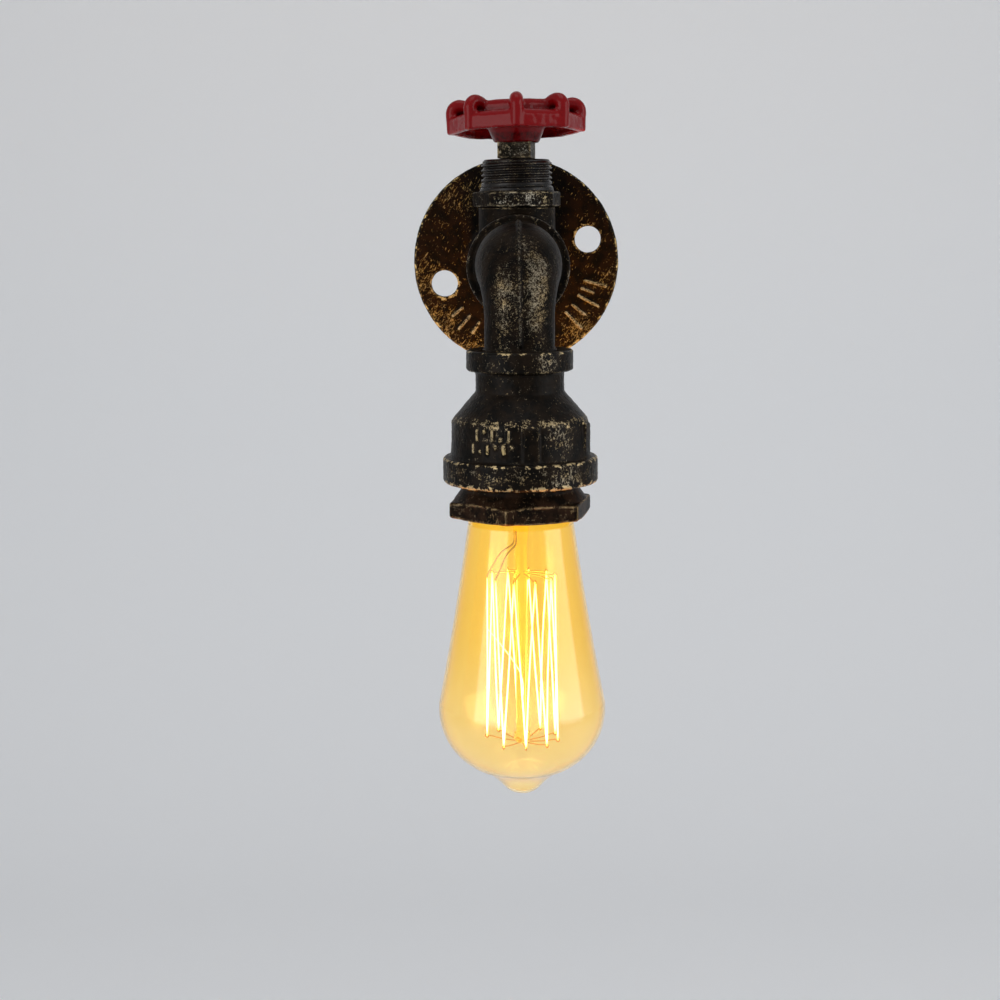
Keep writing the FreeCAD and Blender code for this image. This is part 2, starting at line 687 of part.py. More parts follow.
def fixed_contact(side):
    """Brass contact that stands on the base, at the wall side or at the lamp side."""
    top = ROTOR_FOOT - BRIDGE_THICK - BODY_GAP
    block = Part.makeBox(
        CONTACT_WIDE,
        CONTACT_WIDE,
        top - SWITCH_SPLIT,
        FreeCAD.Vector(-CONTACT_WIDE / 2, side * CONTACT_OFFSET - CONTACT_WIDE / 2, SWITCH_SPLIT),
    )
    hole = Part.makeCylinder(TERMINAL_SHANK_R + THREAD_GAP, 2, FreeCAD.Vector(0, side * CONTACT_OFFSET, SWITCH_SPLIT - 1))
    return at_tower(block.cut(hole))


def terminal_tab(side):
    """Brass tab under the base that clamps a wire, bent down at its outer end."""
    inner = CONTACT_OFFSET - TAB_WIDE / 2
    flat_low = SWITCH_BOTTOM - CONTACT_THICK
    flat_y = inner if side > 0 else -LIVE_TAIL
    flat = Part.makeBox(TAB_WIDE, LIVE_TAIL - inner, CONTACT_THICK, FreeCAD.Vector(-TAB_WIDE / 2, flat_y, flat_low))
    leg_y = LIVE_TAIL - CONTACT_THICK if side > 0 else -LIVE_TAIL
    leg = Part.makeBox(TAB_WIDE, CONTACT_THICK, TAB_LEG, FreeCAD.Vector(-TAB_WIDE / 2, leg_y, SWITCH_BOTTOM - TAB_LEG))
    hole = Part.makeCylinder(TERMINAL_SHANK_R + THREAD_GAP, 3, FreeCAD.Vector(0, side * CONTACT_OFFSET, SWITCH_BOTTOM - 2))
    return flat.fuse(leg).cut(hole).removeSplitter()


def switch_terminals():
    """The two terminal tabs of the switch."""
    return at_tower(Part.makeCompound([terminal_tab(-1), terminal_tab(1)]))


def screw_with_head(seat, direction, head_r, head_tall, shank_r, shank_long):
    """A small screw along Z whose head stands on the side that direction gives, 1 up or -1 down."""
    head = Part.makeCylinder(head_r, head_tall, point(0, seat if direction > 0 else seat - head_tall))
    shank = Part.makeCylinder(shank_r, shank_long, point(0, seat - shank_long if direction > 0 else seat))
    slot_low = seat + head_tall - 0.5 if direction > 0 else seat - head_tall - 0.5
    slot = Part.makeBox(0.5, 2 * head_r + 2, 1.0, FreeCAD.Vector(-0.25, -head_r - 1, slot_low))
    return head.fuse(shank).cut(slot)


def switch_terminal_screws():
    """The two screws that hold the tabs and the fixed contacts to the base."""
    screws = []
    for side in (-1, 1):
        screw = screw_with_head(
            SWITCH_BOTTOM - CONTACT_THICK, -1, TERMINAL_SCREW_R, TERMINAL_SCREW_TALL, TERMINAL_SHANK_R, 4.0
        )
        screw.translate(FreeCAD.Vector(0, side * CONTACT_OFFSET, 0))
        screws.append(screw)
    return at_tower(Part.makeCompound(screws))


def elbow_loft(start_r, end_r, heel, lead):
    """Quarter bend from the run (start) down to the lamp axis (end), with a straight lead before it.

    Its round sections ease from one radius to the other. They start off the axis by a heel that fades out.
    """
    places = [(FreeCAD.Vector(0, ELBOW_BEND + lead, 0), UP, 0.0)] if lead > 0 else []
    for number in range(ELBOW_STEPS + 1):
        share = number / ELBOW_STEPS
        angle = math.radians(90 * share)
        centre = FreeCAD.Vector(0, ELBOW_BEND * (1 - math.sin(angle)), -ELBOW_BEND * (1 - math.cos(angle)))
        places.append((centre, FreeCAD.Vector(0, -math.sin(angle), math.cos(angle)), share))
    sections = []
    for centre, outward, share in places:
        ease = share * share * (3 - 2 * share)
        heading = outward.cross(FreeCAD.Vector(1, 0, 0))
        radius = start_r + (end_r - start_r) * ease
        sections.append(Part.Wire(Part.makeCircle(radius, centre + outward * heel * (1 - ease), heading)))
    return Part.makeLoft(sections, True, False)


def street_elbow():
    """Street elbow with a banded socket, a parting seam over its back and a male end."""
    lead = ELBOW_TO_FACE - BAND_WIDTH - ELBOW_BEND + 1.0
    bend = elbow_loft(ELBOW_BODY_R, ELBOW_NECK_R, ELBOW_HEEL, lead)
    seam_r = ELBOW_NECK_R + ELBOW_SEAM_PROUD
    seam_blank = elbow_loft(ELBOW_BODY_R + ELBOW_SEAM_PROUD, seam_r, ELBOW_HEEL, lead)
    slab = Part.makeBox(ELBOW_SEAM_WIDE, 80, 80, FreeCAD.Vector(-ELBOW_SEAM_WIDE / 2, -40, -60))
    socket = turned(
        (0, ELBOW_TO_FACE - BAND_WIDTH),
        (BAND_R - BAND_EDGE, ELBOW_TO_FACE - BAND_WIDTH),
        (BAND_R, ELBOW_TO_FACE - BAND_WIDTH + BAND_EDGE),
        (BAND_R, ELBOW_TO_FACE - BAND_EDGE),
        (BAND_R - BAND_EDGE, ELBOW_TO_FACE),
        (0, ELBOW_TO_FACE),
    )
    socket.rotate(FreeCAD.Vector(), FreeCAD.Vector(1, 0, 0), -90)
    male_foot = REDUCER_TOP - PIPE_ENGAGED - 2
    male = turned(
        (0, -ELBOW_BEND),
        (ELBOW_NECK_R, -ELBOW_BEND),
        (ELBOW_NECK_R, REDUCER_TOP + BODY_GAP),
        (PIPE_R, REDUCER_TOP),
        (PIPE_R, male_foot + 1),
        (PIPE_R - 1, male_foot),
        (0, male_foot),
    )
    seam_tube = Part.makeCylinder(seam_r, -ELBOW_BEND - REDUCER_TOP - 1.0, point(0, REDUCER_TOP + 1.0))
    body = bend.fuse([socket, male, seam_blank.common(slab), seam_tube.common(slab)])
    bore = elbow_loft(ELBOW_BORE_R, ELBOW_BORE_R, 0, 0)
    straight = Part.makeCylinder(ELBOW_BORE_R, ELBOW_TO_FACE - ELBOW_BEND + 1, point(0, ELBOW_BEND - 0.001))
    straight = straight.fuse(Part.makeCylinder(SOCKET_R, SOCKET_DEPTH + 1, point(0, ELBOW_TO_FACE - SOCKET_DEPTH)))
    straight.rotate(FreeCAD.Vector(), FreeCAD.Vector(1, 0, 0), -90)
    down = Part.makeCylinder(ELBOW_BORE_R, -ELBOW_BEND - male_foot + 1, point(0, male_foot - 1))
    return at_lamp(body.cut(bore.fuse([straight, down])))


def bell_reducer():
    """Bell reducer with a band at each end and four cast ribs on its bell."""
    outside = turned(
        (0, REDUCER_TOP),
        (BAND_R - BAND_EDGE, REDUCER_TOP),
        (BAND_R, REDUCER_TOP - BAND_EDGE),
        (BAND_R, REDUCER_TOP - REDUCER_BAND_TALL + BAND_EDGE),
        (BAND_R - BAND_EDGE, REDUCER_TOP - REDUCER_BAND_TALL),
        (REDUCER_NECK_R + 0.8, REDUCER_TOP - REDUCER_BAND_TALL),
        (
            REDUCER_NECK_R,
            REDUCER_TOP - REDUCER_BAND_TALL - 0.8,
            REDUCER_NECK_R + 0.24,
            REDUCER_TOP - REDUCER_BAND_TALL - 0.24,
        ),
        (REDUCER_NECK_R, REDUCER_NECK_FOOT),
        (REDUCER_NECK_R + 3.2, REDUCER_NECK_FOOT - 4.9, REDUCER_NECK_R + 0.9, REDUCER_NECK_FOOT - 2.9),
        (REDUCER_BODY_R, REDUCER_BODY_TOP, REDUCER_BODY_R - 1.9, REDUCER_BODY_TOP + 3.0),
        (REDUCER_BODY_FOOT_R, REDUCER_BAND_TOP),
        (REDUCER_LOW_BAND_R - REDUCER_LOW_EDGE, REDUCER_BAND_TOP),
        (REDUCER_LOW_BAND_R, REDUCER_BAND_TOP - REDUCER_LOW_EDGE),
        (REDUCER_LOW_BAND_R, REDUCER_FACE + REDUCER_LOW_EDGE),
        (REDUCER_LOW_BAND_R - REDUCER_LOW_EDGE, REDUCER_FACE),
        (0, REDUCER_FACE),
    )
    rib_r = REDUCER_BODY_R + REDUCER_RIB_PROUD
    rib_blank = turned(
        (0, REDUCER_BAND_TOP - 1),
        (rib_r, REDUCER_BAND_TOP - 1),
        (rib_r, REDUCER_BODY_TOP - 0.4),
        (rib_r - 1.6, REDUCER_BODY_TOP + 1.2),
        (0, REDUCER_BODY_TOP + 1.2),
    )
    for angle in REDUCER_RIB_ANGLES:
        slab = Part.makeBox(
            REDUCER_RIB_WIDE, 40, 40, FreeCAD.Vector(-REDUCER_RIB_WIDE / 2, -40, REDUCER_BAND_TOP - 20)
        )
        slab.rotate(FreeCAD.Vector(), UP, angle)
        outside = outside.fuse(rib_blank.common(slab))
    inside = turned(
        (0, REDUCER_TOP + 1),
        (SOCKET_R, REDUCER_TOP + 1),
        (SOCKET_R, REDUCER_TOP - PIPE_ENGAGED - 3),
        (REDUCER_THROAT_R, REDUCER_TOP - PIPE_ENGAGED - 4),
        (REDUCER_THROAT_R, REDUCER_THROAT_FOOT),
        (REDUCER_CHAMBER_R, REDUCER_CHAMBER_TOP),
        (REDUCER_CHAMBER_R, REDUCER_STEP),
        (BUSH_SCREW_R + THREAD_GAP, REDUCER_STEP),
        (BUSH_SCREW_R + THREAD_GAP, REDUCER_FACE - 1),
        (0, REDUCER_FACE - 1),
    )
    return at_lamp(outside.cut(inside))


def hex_bushing():
    """Hexagon bushing: male thread into the reducer, six-sided head below, bored right through."""
    across = BUSH_ACROSS_FLATS / math.cos(math.pi / 6)
    head = rounded_prism(6, across, BUSH_FACE, BUSH_TOP, BUSH_TURN, BUSH_CORNER_DROP)
    screw = turned(
        (0, BUSH_TOP),
        (BUSH_SCREW_R, BUSH_TOP),
        (BUSH_SCREW_R, BUSH_INNER_END - 1),
        (BUSH_SCREW_R - 1, BUSH_INNER_END),
        (0, BUSH_INNER_END),
    )
    bore = Part.makeCylinder(BUSH_BORE_R, BUSH_INNER_END - BUSH_FACE + 2, point(0, BUSH_FACE - 1))
    return at_lamp(head.fuse(screw).cut(bore))


def holder_gasket():
    """Fibre ring between the bushing and the lampholder's flange."""
    return at_lamp(ring(HOLDER_FLANGE_R, BUSH_BORE_R, BUSH_INNER_END, BUSH_INNER_END + GASKET_THICK))


def holder_body():
    """Porcelain lampholder, stepped to sit under the reducer's inner shoulder."""
    flange_foot = BUSH_INNER_END + GASKET_THICK
    body = turned(
        (0, HOLDER_TOP),
        (HOLDER_BOSS_R, HOLDER_TOP),
        (HOLDER_BOSS_R, HOLDER_BOSS_FOOT),
        (HOLDER_R, HOLDER_SHOULDER),
        (HOLDER_R, REDUCER_STEP),
        (HOLDER_FLANGE_R, REDUCER_STEP),
        (HOLDER_FLANGE_R, flange_foot),
        (HOLDER_R, flange_foot),
        (HOLDER_R, HOLDER_FOOT),
        (SHELL_R + THREAD_GAP, HOLDER_FOOT),
        (SHELL_R + THREAD_GAP, SHELL_TOP),
        (HOLDER_CONTACT_WELL_R, SHELL_TOP + 1.2),
        (HOLDER_CONTACT_WELL_R, HOLDER_CEILING),
        (0, HOLDER_CEILING),
    )
    for side in (-1, 1):
        hole = Part.makeCylinder(
            TERMINAL_SHANK_R + THREAD_GAP, 3.2, FreeCAD.Vector(side * HOLDER_TERMINAL_OFFSET, 0, HOLDER_TOP - 3)
        )
        body = body.cut(hole)
    rivet = Part.makeCylinder(TERMINAL_SHANK_R + THREAD_GAP, 8, point(0, HOLDER_CEILING - 1))
    return at_lamp(body.cut(rivet))


def screw_shell():
    """Brass shell that takes the bulb's cap, with a turned-in top."""
    body = turned(
        (SHELL_R, SHELL_FOOT),
        (SHELL_R, SHELL_TOP),
        (SHELL_LIP_R, SHELL_TOP),
        (SHELL_LIP_R, SHELL_TOP - SHELL_WALL),
        (SHELL_R - SHELL_WALL, SHELL_TOP - SHELL_WALL),
        (SHELL_R - SHELL_WALL, SHELL_FOOT),
    )
    return at_lamp(body)


def centre_contact():
    """Spring tongue over the bulb's contact, riveted through the porcelain."""
    strip = Part.makeBox(
        2 * HOLDER_CONTACT_WELL_R - 2,
        TONGUE_WIDE,
        TONGUE_THICK,
        FreeCAD.Vector(1 - HOLDER_CONTACT_WELL_R, -TONGUE_WIDE / 2, HOLDER_CEILING - TONGUE_THICK),
    )
    rivet = Part.makeCylinder(TERMINAL_SHANK_R, HOLDER_TOP - HOLDER_CEILING + 0.4, point(0, HOLDER_CEILING))
    return at_lamp(strip.fuse(rivet))


def holder_terminals():
    """The two brass plates on top of the porcelain that the wires end at."""
    plates = []
    for side in (-1, 1):
        corner = FreeCAD.Vector(side * HOLDER_TERMINAL_OFFSET - 1.8, -2.2, HOLDER_TOP)
        plate = Part.makeBox(3.6, 7.6, TERMINAL_PLATE, corner)
        hole = Part.makeCylinder(
            TERMINAL_SHANK_R + THREAD_GAP, 3, FreeCAD.Vector(side * HOLDER_TERMINAL_OFFSET, 0, HOLDER_TOP - 1)
        )
        plates.append(plate.cut(hole))
    return at_lamp(Part.makeCompound(plates))


def holder_terminal_screws():
    """The two screws in the plates on the lampholder."""
    screws = []
    for side in (-1, 1):
        screw = screw_with_head(HOLDER_TOP + TERMINAL_PLATE, 1, TERMINAL_SCREW_R, 1.0, TERMINAL_SHANK_R, 2.8)
        screw.translate(FreeCAD.Vector(side * HOLDER_TERMINAL_OFFSET, 0, 0))
        screws.append(screw)
    return at_lamp(Part.makeCompound(screws))


def glass_skin(inset):
    """The bulb's outline turned about the lamp's axis, drawn in from the outside by a wall."""
    turn_r = BULB_END_R - inset
    turn_centre = BULB_R - BULB_END_R
    cone = math.radians(BULB_CONE_ANGLE)
    side = math.radians(0.5 * (BULB_END_ANGLE - BULB_CONE_ANGLE))
    end = math.radians(BULB_END_ANGLE)
    tangent = (turn_centre + turn_r * math.cos(cone), BULB_CENTRE + turn_r * math.sin(cone))
    exit_r = BULB_EXIT_R - inset
    waist = (0.5 * (exit_r + tangent[0]) - BULB_WAIST, 0.5 * (BULB_EXIT + tangent[1]))
    end_place = (turn_centre + turn_r * math.cos(end), BULB_CENTRE - turn_r * math.sin(end))
    pip_r = BULB_PIP_R - inset
    pip_angle = math.radians(BULB_PIP_ANGLE)
    pip_centre = BULB_TIP + BULB_PIP_R
    pip_top = (pip_r * math.sin(pip_angle), pip_centre - pip_r * math.cos(pip_angle))
    dip = (0.5 * (end_place[0] + pip_top[0]) - 0.6 * BULB_DIP, 0.5 * (end_place[1] + pip_top[1]) + 0.8 * BULB_DIP)
    tip = BULB_TIP + inset
    return turned(
        (0, GLASS_TOP),
        (BULB_NECK_R - inset, GLASS_TOP),
        (BULB_NECK_R - inset, CAP_FOOT),
        (exit_r, BULB_EXIT, BULB_NECK_R + 2.3 - inset, 0.5 * (CAP_FOOT + BULB_EXIT)),
        (*tangent, *waist),
        (*end_place, turn_centre + turn_r * math.cos(side), BULB_CENTRE - turn_r * math.sin(side)),
        (*pip_top, *dip),
        (POLE_R, tip, pip_r * math.sin(pip_angle / 2), pip_centre - pip_r * math.cos(pip_angle / 2)),
        (0, tip),
    )


def bulb_glass():
    """Thin blown envelope: neck, long taper, round end and the pip where it was sealed."""
    mouth = Part.makeCylinder(BULB_NECK_R - BULB_GLASS, 2, point(0, CAP_FOOT))
    return at_lamp(glass_skin(0).cut(glass_skin(BULB_GLASS)).cut(mouth))


def bulb_cap():
    """Rolled metal cap on the bulb's neck."""
    body = turned(
        (CAP_R, CAP_FOOT),
        (CAP_R, CAP_TOP),
        (CAP_CROWN_R, CAP_CROWN),
        (CAP_CROWN_R - CAP_WALL, CAP_CROWN),
        (CAP_R - CAP_WALL, CAP_TOP - CAP_WALL),
        (CAP_R - CAP_WALL, GLASS_TOP),
        (BULB_NECK_R, GLASS_TOP),
        (BULB_NECK_R, CAP_FOOT),
    )
    return at_lamp(body)


def cap_insulator():
    """Black glass between the cap and its contact."""
    body = turned(
        (0, CAP_CROWN - 1.0),
        (CAP_CROWN_R - CAP_WALL - 0.02, CAP_CROWN - 1.0),
        (CAP_CROWN_R - CAP_WALL - 0.02, CAP_CROWN),
        (CAP_CONTACT_R + 0.4, CAP_CONTACT_TOP - 0.6),
        (0, CAP_CONTACT_TOP - 0.6),
    )
    return at_lamp(body)


def cap_contact():
    """Solder button at the end of the cap."""
    low = CAP_CONTACT_TOP - 0.6
    body = turned(
        (0, low),
        (CAP_CONTACT_R, low),
        (CAP_CONTACT_R, low + 0.2),
        (POLE_R, CAP_CONTACT_TOP, 0.6 * CAP_CONTACT_R, low + 0.45),
        (0, CAP_CONTACT_TOP),
    )
    return at_lamp(body)


def bulb_stem():
    """Glass stem: flare sealed in the neck, pressed tube and the rod that carries the cage."""
    rod_foot = CAGE_FOOT - BUTTON_TALL
    body = turned(
        (0, GLASS_TOP + STEM_FLARE_TALL),
        (BULB_NECK_R - BULB_GLASS / 2, GLASS_TOP + STEM_FLARE_TALL),
        (BULB_NECK_R - BULB_GLASS / 2, GLASS_TOP),
        (BULB_NECK_R - 3 * BULB_GLASS, GLASS_TOP),
        (STEM_TUBE_R, CAP_FOOT - 10.0, STEM_TUBE_R + 2.2, CAP_FOOT - 3.5),
        (STEM_TUBE_R - 0.2, STEM_PRESS + 2.0),
        (STEM_ROD_R, STEM_PRESS - 2.0),
        (STEM_ROD_R, CAGE_TOP + BUTTON_TALL / 2),
        (BUTTON_R, CAGE_TOP + BUTTON_TALL / 2),
        (BUTTON_R, CAGE_TOP - BUTTON_TALL / 2),
        (STEM_ROD_R, CAGE_TOP - BUTTON_TALL / 2),
        (STEM_ROD_R, CAGE_FOOT + BUTTON_TALL),
        (BUTTON_R, CAGE_FOOT + BUTTON_TALL),
        (BUTTON_R, CAGE_FOOT),
        (POLE_R, rod_foot, 0.7 * BUTTON_R, rod_foot + 0.6),
        (0, rod_foot),
    )
    return at_lamp(body)


def cage_point(level, number):
    """Where the filament turns round a hook, at the top or at the foot of the cage."""
    shift = 0.0 if level == "top" else 0.5
    angle = math.radians(CAGE_TURN + 360 * (number + shift) / CAGE_HOOKS)
    radius = CAGE_TOP_R if level == "top" else CAGE_FOOT_R
    height = CAGE_TOP if level == "top" else CAGE_FOOT
    return FreeCAD.Vector(radius * math.cos(angle), radius * math.sin(angle), height)


def filament():
    """One wire that runs down and up round the hooks, its two ends on the leads at the top."""
    turns = [cage_point("top", 0)]
    for number in range(CAGE_HOOKS - 1):
        turns.append(cage_point("foot", number))
        turns.append(cage_point("top", number + 1))
    strands = [fine_rod(a, b, FILAMENT_R) for a, b in zip(turns, turns[1:])]
    return at_lamp(strands[0].fuse(strands[1:]))


def hook_wires(level, numbers):
    """Thin wires that stand out from a button on the stem to the filament."""
    rise = HOOK_RISE if level == "top" else -HOOK_RISE
    wires = []
    for number in numbers:
        tip = cage_point(level, number)
        outward = FreeCAD.Vector(tip.x, tip.y, 0)
        outward.normalize()
        root = outward * BUTTON_R + FreeCAD.Vector(0, 0, tip.z + rise)
        wires.append(fine_rod(root, tip - outward * (FILAMENT_R + 0.1), HOOK_WIRE_R))
    return at_lamp(Part.makeCompound(wires))


def upper_hooks():
    """The hooks at the top, one for each bend of the filament between its two ends."""
    return hook_wires("top", range(1, CAGE_HOOKS - 1))


def lower_hooks():
    """The hooks at the foot, one for each bend of the filament there."""
    return hook_wires("foot", range(CAGE_HOOKS - 1))


def lead_wires():
    """Two leads from the press of the stem to the ends of the filament."""
    leads = []
    for number in (0, CAGE_HOOKS - 1):
        end = cage_point("top", number)
        outward = FreeCAD.Vector(end.x, end.y, 0)
        outward.normalize()
        start = outward * LEAD_ROOT_R + FreeCAD.Vector(0, 0, STEM_PRESS)
        leads.append(fine_rod(start, end + FreeCAD.Vector(0, 0, FILAMENT_R + 0.1), LEAD_R))
    return at_lamp(Part.makeCompound(leads))


def rounded_wire(points, radius):
    """A wire of round section along straight runs, joined by tangent arcs as large as the runs allow."""
    edges = []
    here = points[0]
    for before, corner, after in zip(points, points[1:], points[2:]):
        into = corner - before
        out = after - corner
        half_turn = into.getAngle(out) / 2
        shorter = min(into.Length, out.Length)
        setback = 0.45 * shorter
        bend = setback / math.tan(half_turn)
        into.normalize()
        out.normalize()
        start = corner - into * setback
        end = corner + out * setback
        inward = out - into
        inward.normalize()
        depth = bend / math.cos(half_turn) - bend
        middle = corner + inward * depth
        edges.append(Part.makeLine(here, start))
        edges.append(Part.Arc(start, middle, end).toShape())
        here = end
        print("wire bend radius", round(bend, 1))
    edges.append(Part.makeLine(here, points[-1]))
    path = Part.Wire(edges)
    first = points[1] - points[0]
    section = Part.Wire(Part.makeCircle(radius, points[0], first))
    return path.makePipeShell([section], True, False)


def supply_wire():
    """Live wire from the wall to the switch."""
    start = FreeCAD.Vector(0, -WIRE_START, WIRE_LEVEL)
    end = FreeCAD.Vector(0, TOWER_Y + LIVE_TAIL, WIRE_LEVEL)
    return rod(start, end, WIRE_R)


def lamp_route(side, start):
    """Points of a wire that comes through the run and turns down to a terminal of the lampholder."""
    offset = side * HOLDER_TERMINAL_OFFSET
    foot = HOLDER_TOP + TERMINAL_PLATE + THREAD_GAP
    return [
        start,
        FreeCAD.Vector(start.x, LAMP_Y + 24, WIRE_LEVEL),
        FreeCAD.Vector(0.5 * (start.x + offset), LAMP_Y + 4, -7.0),
        FreeCAD.Vector(offset, LAMP_Y + 3.6, -27.0),
        FreeCAD.Vector(offset + 0.3 * side, LAMP_Y + 4.0, foot),
    ]


def switched_wire():
    """Wire from the switch to the middle contact of the lampholder."""
    return rounded_wire(lamp_route(-1, FreeCAD.Vector(0, TOWER_Y - LIVE_TAIL, WIRE_LEVEL)), WIRE_R)


def neutral_wire():
    """Wire from the wall to the shell contact of the lampholder."""
    return rounded_wire(lamp_route(1, FreeCAD.Vector(NEUTRAL_OFFSET, -WIRE_START, WIRE_LEVEL)), WIRE_R)


PIECES = {
    "wall_flange": wall_flange,
    "rear_nipple": lambda: close_nipple(FLANGE_HUB_FACE),
    "tee_body": tee_body,
    "front_nipple": lambda: close_nipple(TEE_FRONT_FACE),
    "street_elbow": street_elbow,
    "bell_reducer": bell_reducer,
    "hex_bushing": hex_bushing,
    "bonnet": bonnet,
    "gland_packing": gland_packing,
    "gland_ring": gland_ring,
    "spindle": spindle,
    "spindle_clip": spindle_clip,
    "handwheel": handwheel,
    "wheel_washer": wheel_washer,
    "wheel_screw": wheel_screw,
    "switch_cover": switch_cover,
    "switch_base": switch_base,
    "switch_rotor": switch_rotor,
    "rotor_bridge": rotor_bridge,
    "switch_contacts": lambda: Part.makeCompound([fixed_contact(-1), fixed_contact(1)]),
    "switch_terminals": switch_terminals,
    "switch_terminal_screws": switch_terminal_screws,
    "holder_body": holder_body,
    "holder_gasket": holder_gasket,
    "screw_shell": screw_shell,
    "centre_contact": centre_contact,
    "holder_terminals": holder_terminals,
    "holder_terminal_screws": holder_terminal_screws,
    "supply_wire": supply_wire,
    "switched_wire": switched_wire,
    "neutral_wire": neutral_wire,
    "bulb_glass": bulb_glass,
    "bulb_cap": bulb_cap,
    "cap_insulator": cap_insulator,
    "cap_contact": cap_contact,
    "bulb_stem": bulb_stem,
    "filament": filament,
    "upper_hooks": upper_hooks,
    "lower_hooks": lower_hooks,
    "lead_wires": lead_wires,
}


def main():
    """Builds every piece and writes it to its own file."""
    os.makedirs(PARTS, exist_ok=True)
    for name, build in PIECES.items():
        shape = build()
        box = shape.optimalBoundingBox()
        print(
            name,
            "valid" if shape.isValid() else "INVALID",
            len(shape.Solids),
            "solids, volume",
            round(shape.Volume, 1),
            "box",
            [round(v, 2) for v in (box.XMin, box.YMin, box.ZMin, box.XMax, box.YMax, box.ZMax)],
        )
        shape.exportStep(os.path.join(PARTS, name + ".step"))


main()
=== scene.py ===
"""Looks of a wall sconce built of iron pipe fittings, with a tap handwheel and a cage-filament bulb.

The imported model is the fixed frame. The castings, the wheel, the threads and the filament are modelled
here in the places the frame gives them; the other nodes keep their shape and get their finish. Lengths
are metres, the wall is the plane Y = 0, the lamp stands out from it towards -Y and +Z is up.
"""
from __future__ import annotations

import logging
import math
import random
from collections.abc import Callable, Iterator
from contextlib import contextmanager
from dataclasses import dataclass, field
from enum import Enum

import bpy
from mathutils import Matrix, Vector

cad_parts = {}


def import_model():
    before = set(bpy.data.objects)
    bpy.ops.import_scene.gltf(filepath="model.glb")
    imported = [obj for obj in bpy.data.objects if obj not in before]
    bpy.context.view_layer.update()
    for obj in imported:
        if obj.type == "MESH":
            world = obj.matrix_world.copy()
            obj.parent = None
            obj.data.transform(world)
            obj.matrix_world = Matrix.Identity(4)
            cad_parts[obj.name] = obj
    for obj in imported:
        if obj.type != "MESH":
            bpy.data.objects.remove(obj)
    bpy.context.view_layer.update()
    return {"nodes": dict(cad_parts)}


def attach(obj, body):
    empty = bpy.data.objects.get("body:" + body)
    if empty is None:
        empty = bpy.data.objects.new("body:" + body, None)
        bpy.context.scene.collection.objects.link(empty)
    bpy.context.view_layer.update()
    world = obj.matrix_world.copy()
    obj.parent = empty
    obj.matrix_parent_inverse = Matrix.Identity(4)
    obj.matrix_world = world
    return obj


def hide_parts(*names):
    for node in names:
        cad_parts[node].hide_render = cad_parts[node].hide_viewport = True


logging.basicConfig(level=logging.INFO, format="%(levelname)s %(message)s")
LOG = logging.getLogger("wall_sconce")

MM = 0.001
TAP_Y = -43.0 * MM
LAMP_Y = -102.0 * MM
TAP_AXIS = Vector((0, TAP_Y, 0))
LAMP_AXIS = Vector((0, LAMP_Y, 0))
WELD = 0.002 * MM
ROUND_STEPS = 96

Colour = tuple[float, float, float, float]
Triple = tuple[float, float, float]
Pair = tuple[float, float]
Node = bpy.types.Node
Socket = bpy.types.NodeSocket
Piece = bpy.types.Object
Nodes = dict[str, Piece]


def rgb(red: float, green: float, blue: float) -> Colour:
    """A linear colour with full alpha."""
    return (red, green, blue, 1.0)


def mm(*values: float) -> tuple[float, ...]:
    """Millimetres as metres."""
    return tuple(value * MM for value in values)


def new_object(name: str, data: bpy.types.ID) -> Piece:
    """Puts data into the scene as an object.

    Args:
        name: the object's name.
        data: its mesh, curve, lamp or camera.

    Returns:
        The object.
    """
    thing = bpy.data.objects.new(name, data)
    bpy.context.scene.collection.objects.link(thing)
    return thing


class Body(Enum):
    """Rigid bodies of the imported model."""

    FITTINGS = "fittings"
    WHEEL = "wheel"
    BULB = "bulb"


class Blend(Enum):
    """Ways in which two values are put together."""

    MULTIPLY = "MULTIPLY"
    ADD = "ADD"
    MAXIMUM = "MAXIMUM"
    SUBTRACT = "SUBTRACT"


class Measure(Enum):
    """Works on vectors, each with the output that carries its result."""

    DISTANCE = ("DISTANCE", "Value")
    LENGTH = ("LENGTH", "Value")
    DOT = ("DOT_PRODUCT", "Value")
    SUBTRACT = ("SUBTRACT", "Vector")
    MULTIPLY = ("MULTIPLY", "Vector")


class Merge(Enum):
    """Ways in which one closed piece goes into another."""

    ADD = "UNION"
    CUT = "DIFFERENCE"


class Grain(Enum):
    """Looks of a cast skin."""

    SOFT = "SOFT_NOISE"
    HARD = "HARD_NOISE"


class Way(Enum):
    """Directions that a ring's axis can have, with the flat that the ring lies in."""

    UPRIGHT = (1.0, 1.0, 0.0)
    LEVEL = (1.0, 0.0, 1.0)


@dataclass(frozen=True)
class Noise:
    """A noise pattern: cells per metre, octaves, weight of the finer octaves and distortion."""

    scale: float
    detail: float = 3.0
    roughness: float = 0.55
    warp: float = 0.0


@dataclass(frozen=True)
class FleckSpot:
    """A spot where pale flecks gather on a casting: middle and reach in millimetres. Mostly the dry brush pressed
    there; on the elbow and low on the flange the spots are partly painted light.
    """

    x: float
    y: float
    z: float
    reach: float
    weight: float = 1.0
    core: float = 0.3


@dataclass(frozen=True)
class Ring:
    """A pale line round a casting, mostly a rubbed edge and on the flange's bolt holes a painted glint: its
    middle, radius and reach in millimetres.
    """

    y: float
    z: float
    radius: float
    reach: float
    weight: float = 1.0
    way: Way = Way.UPRIGHT
    x: float = 0.0
    fade: Pair = (1.3, 0.6)


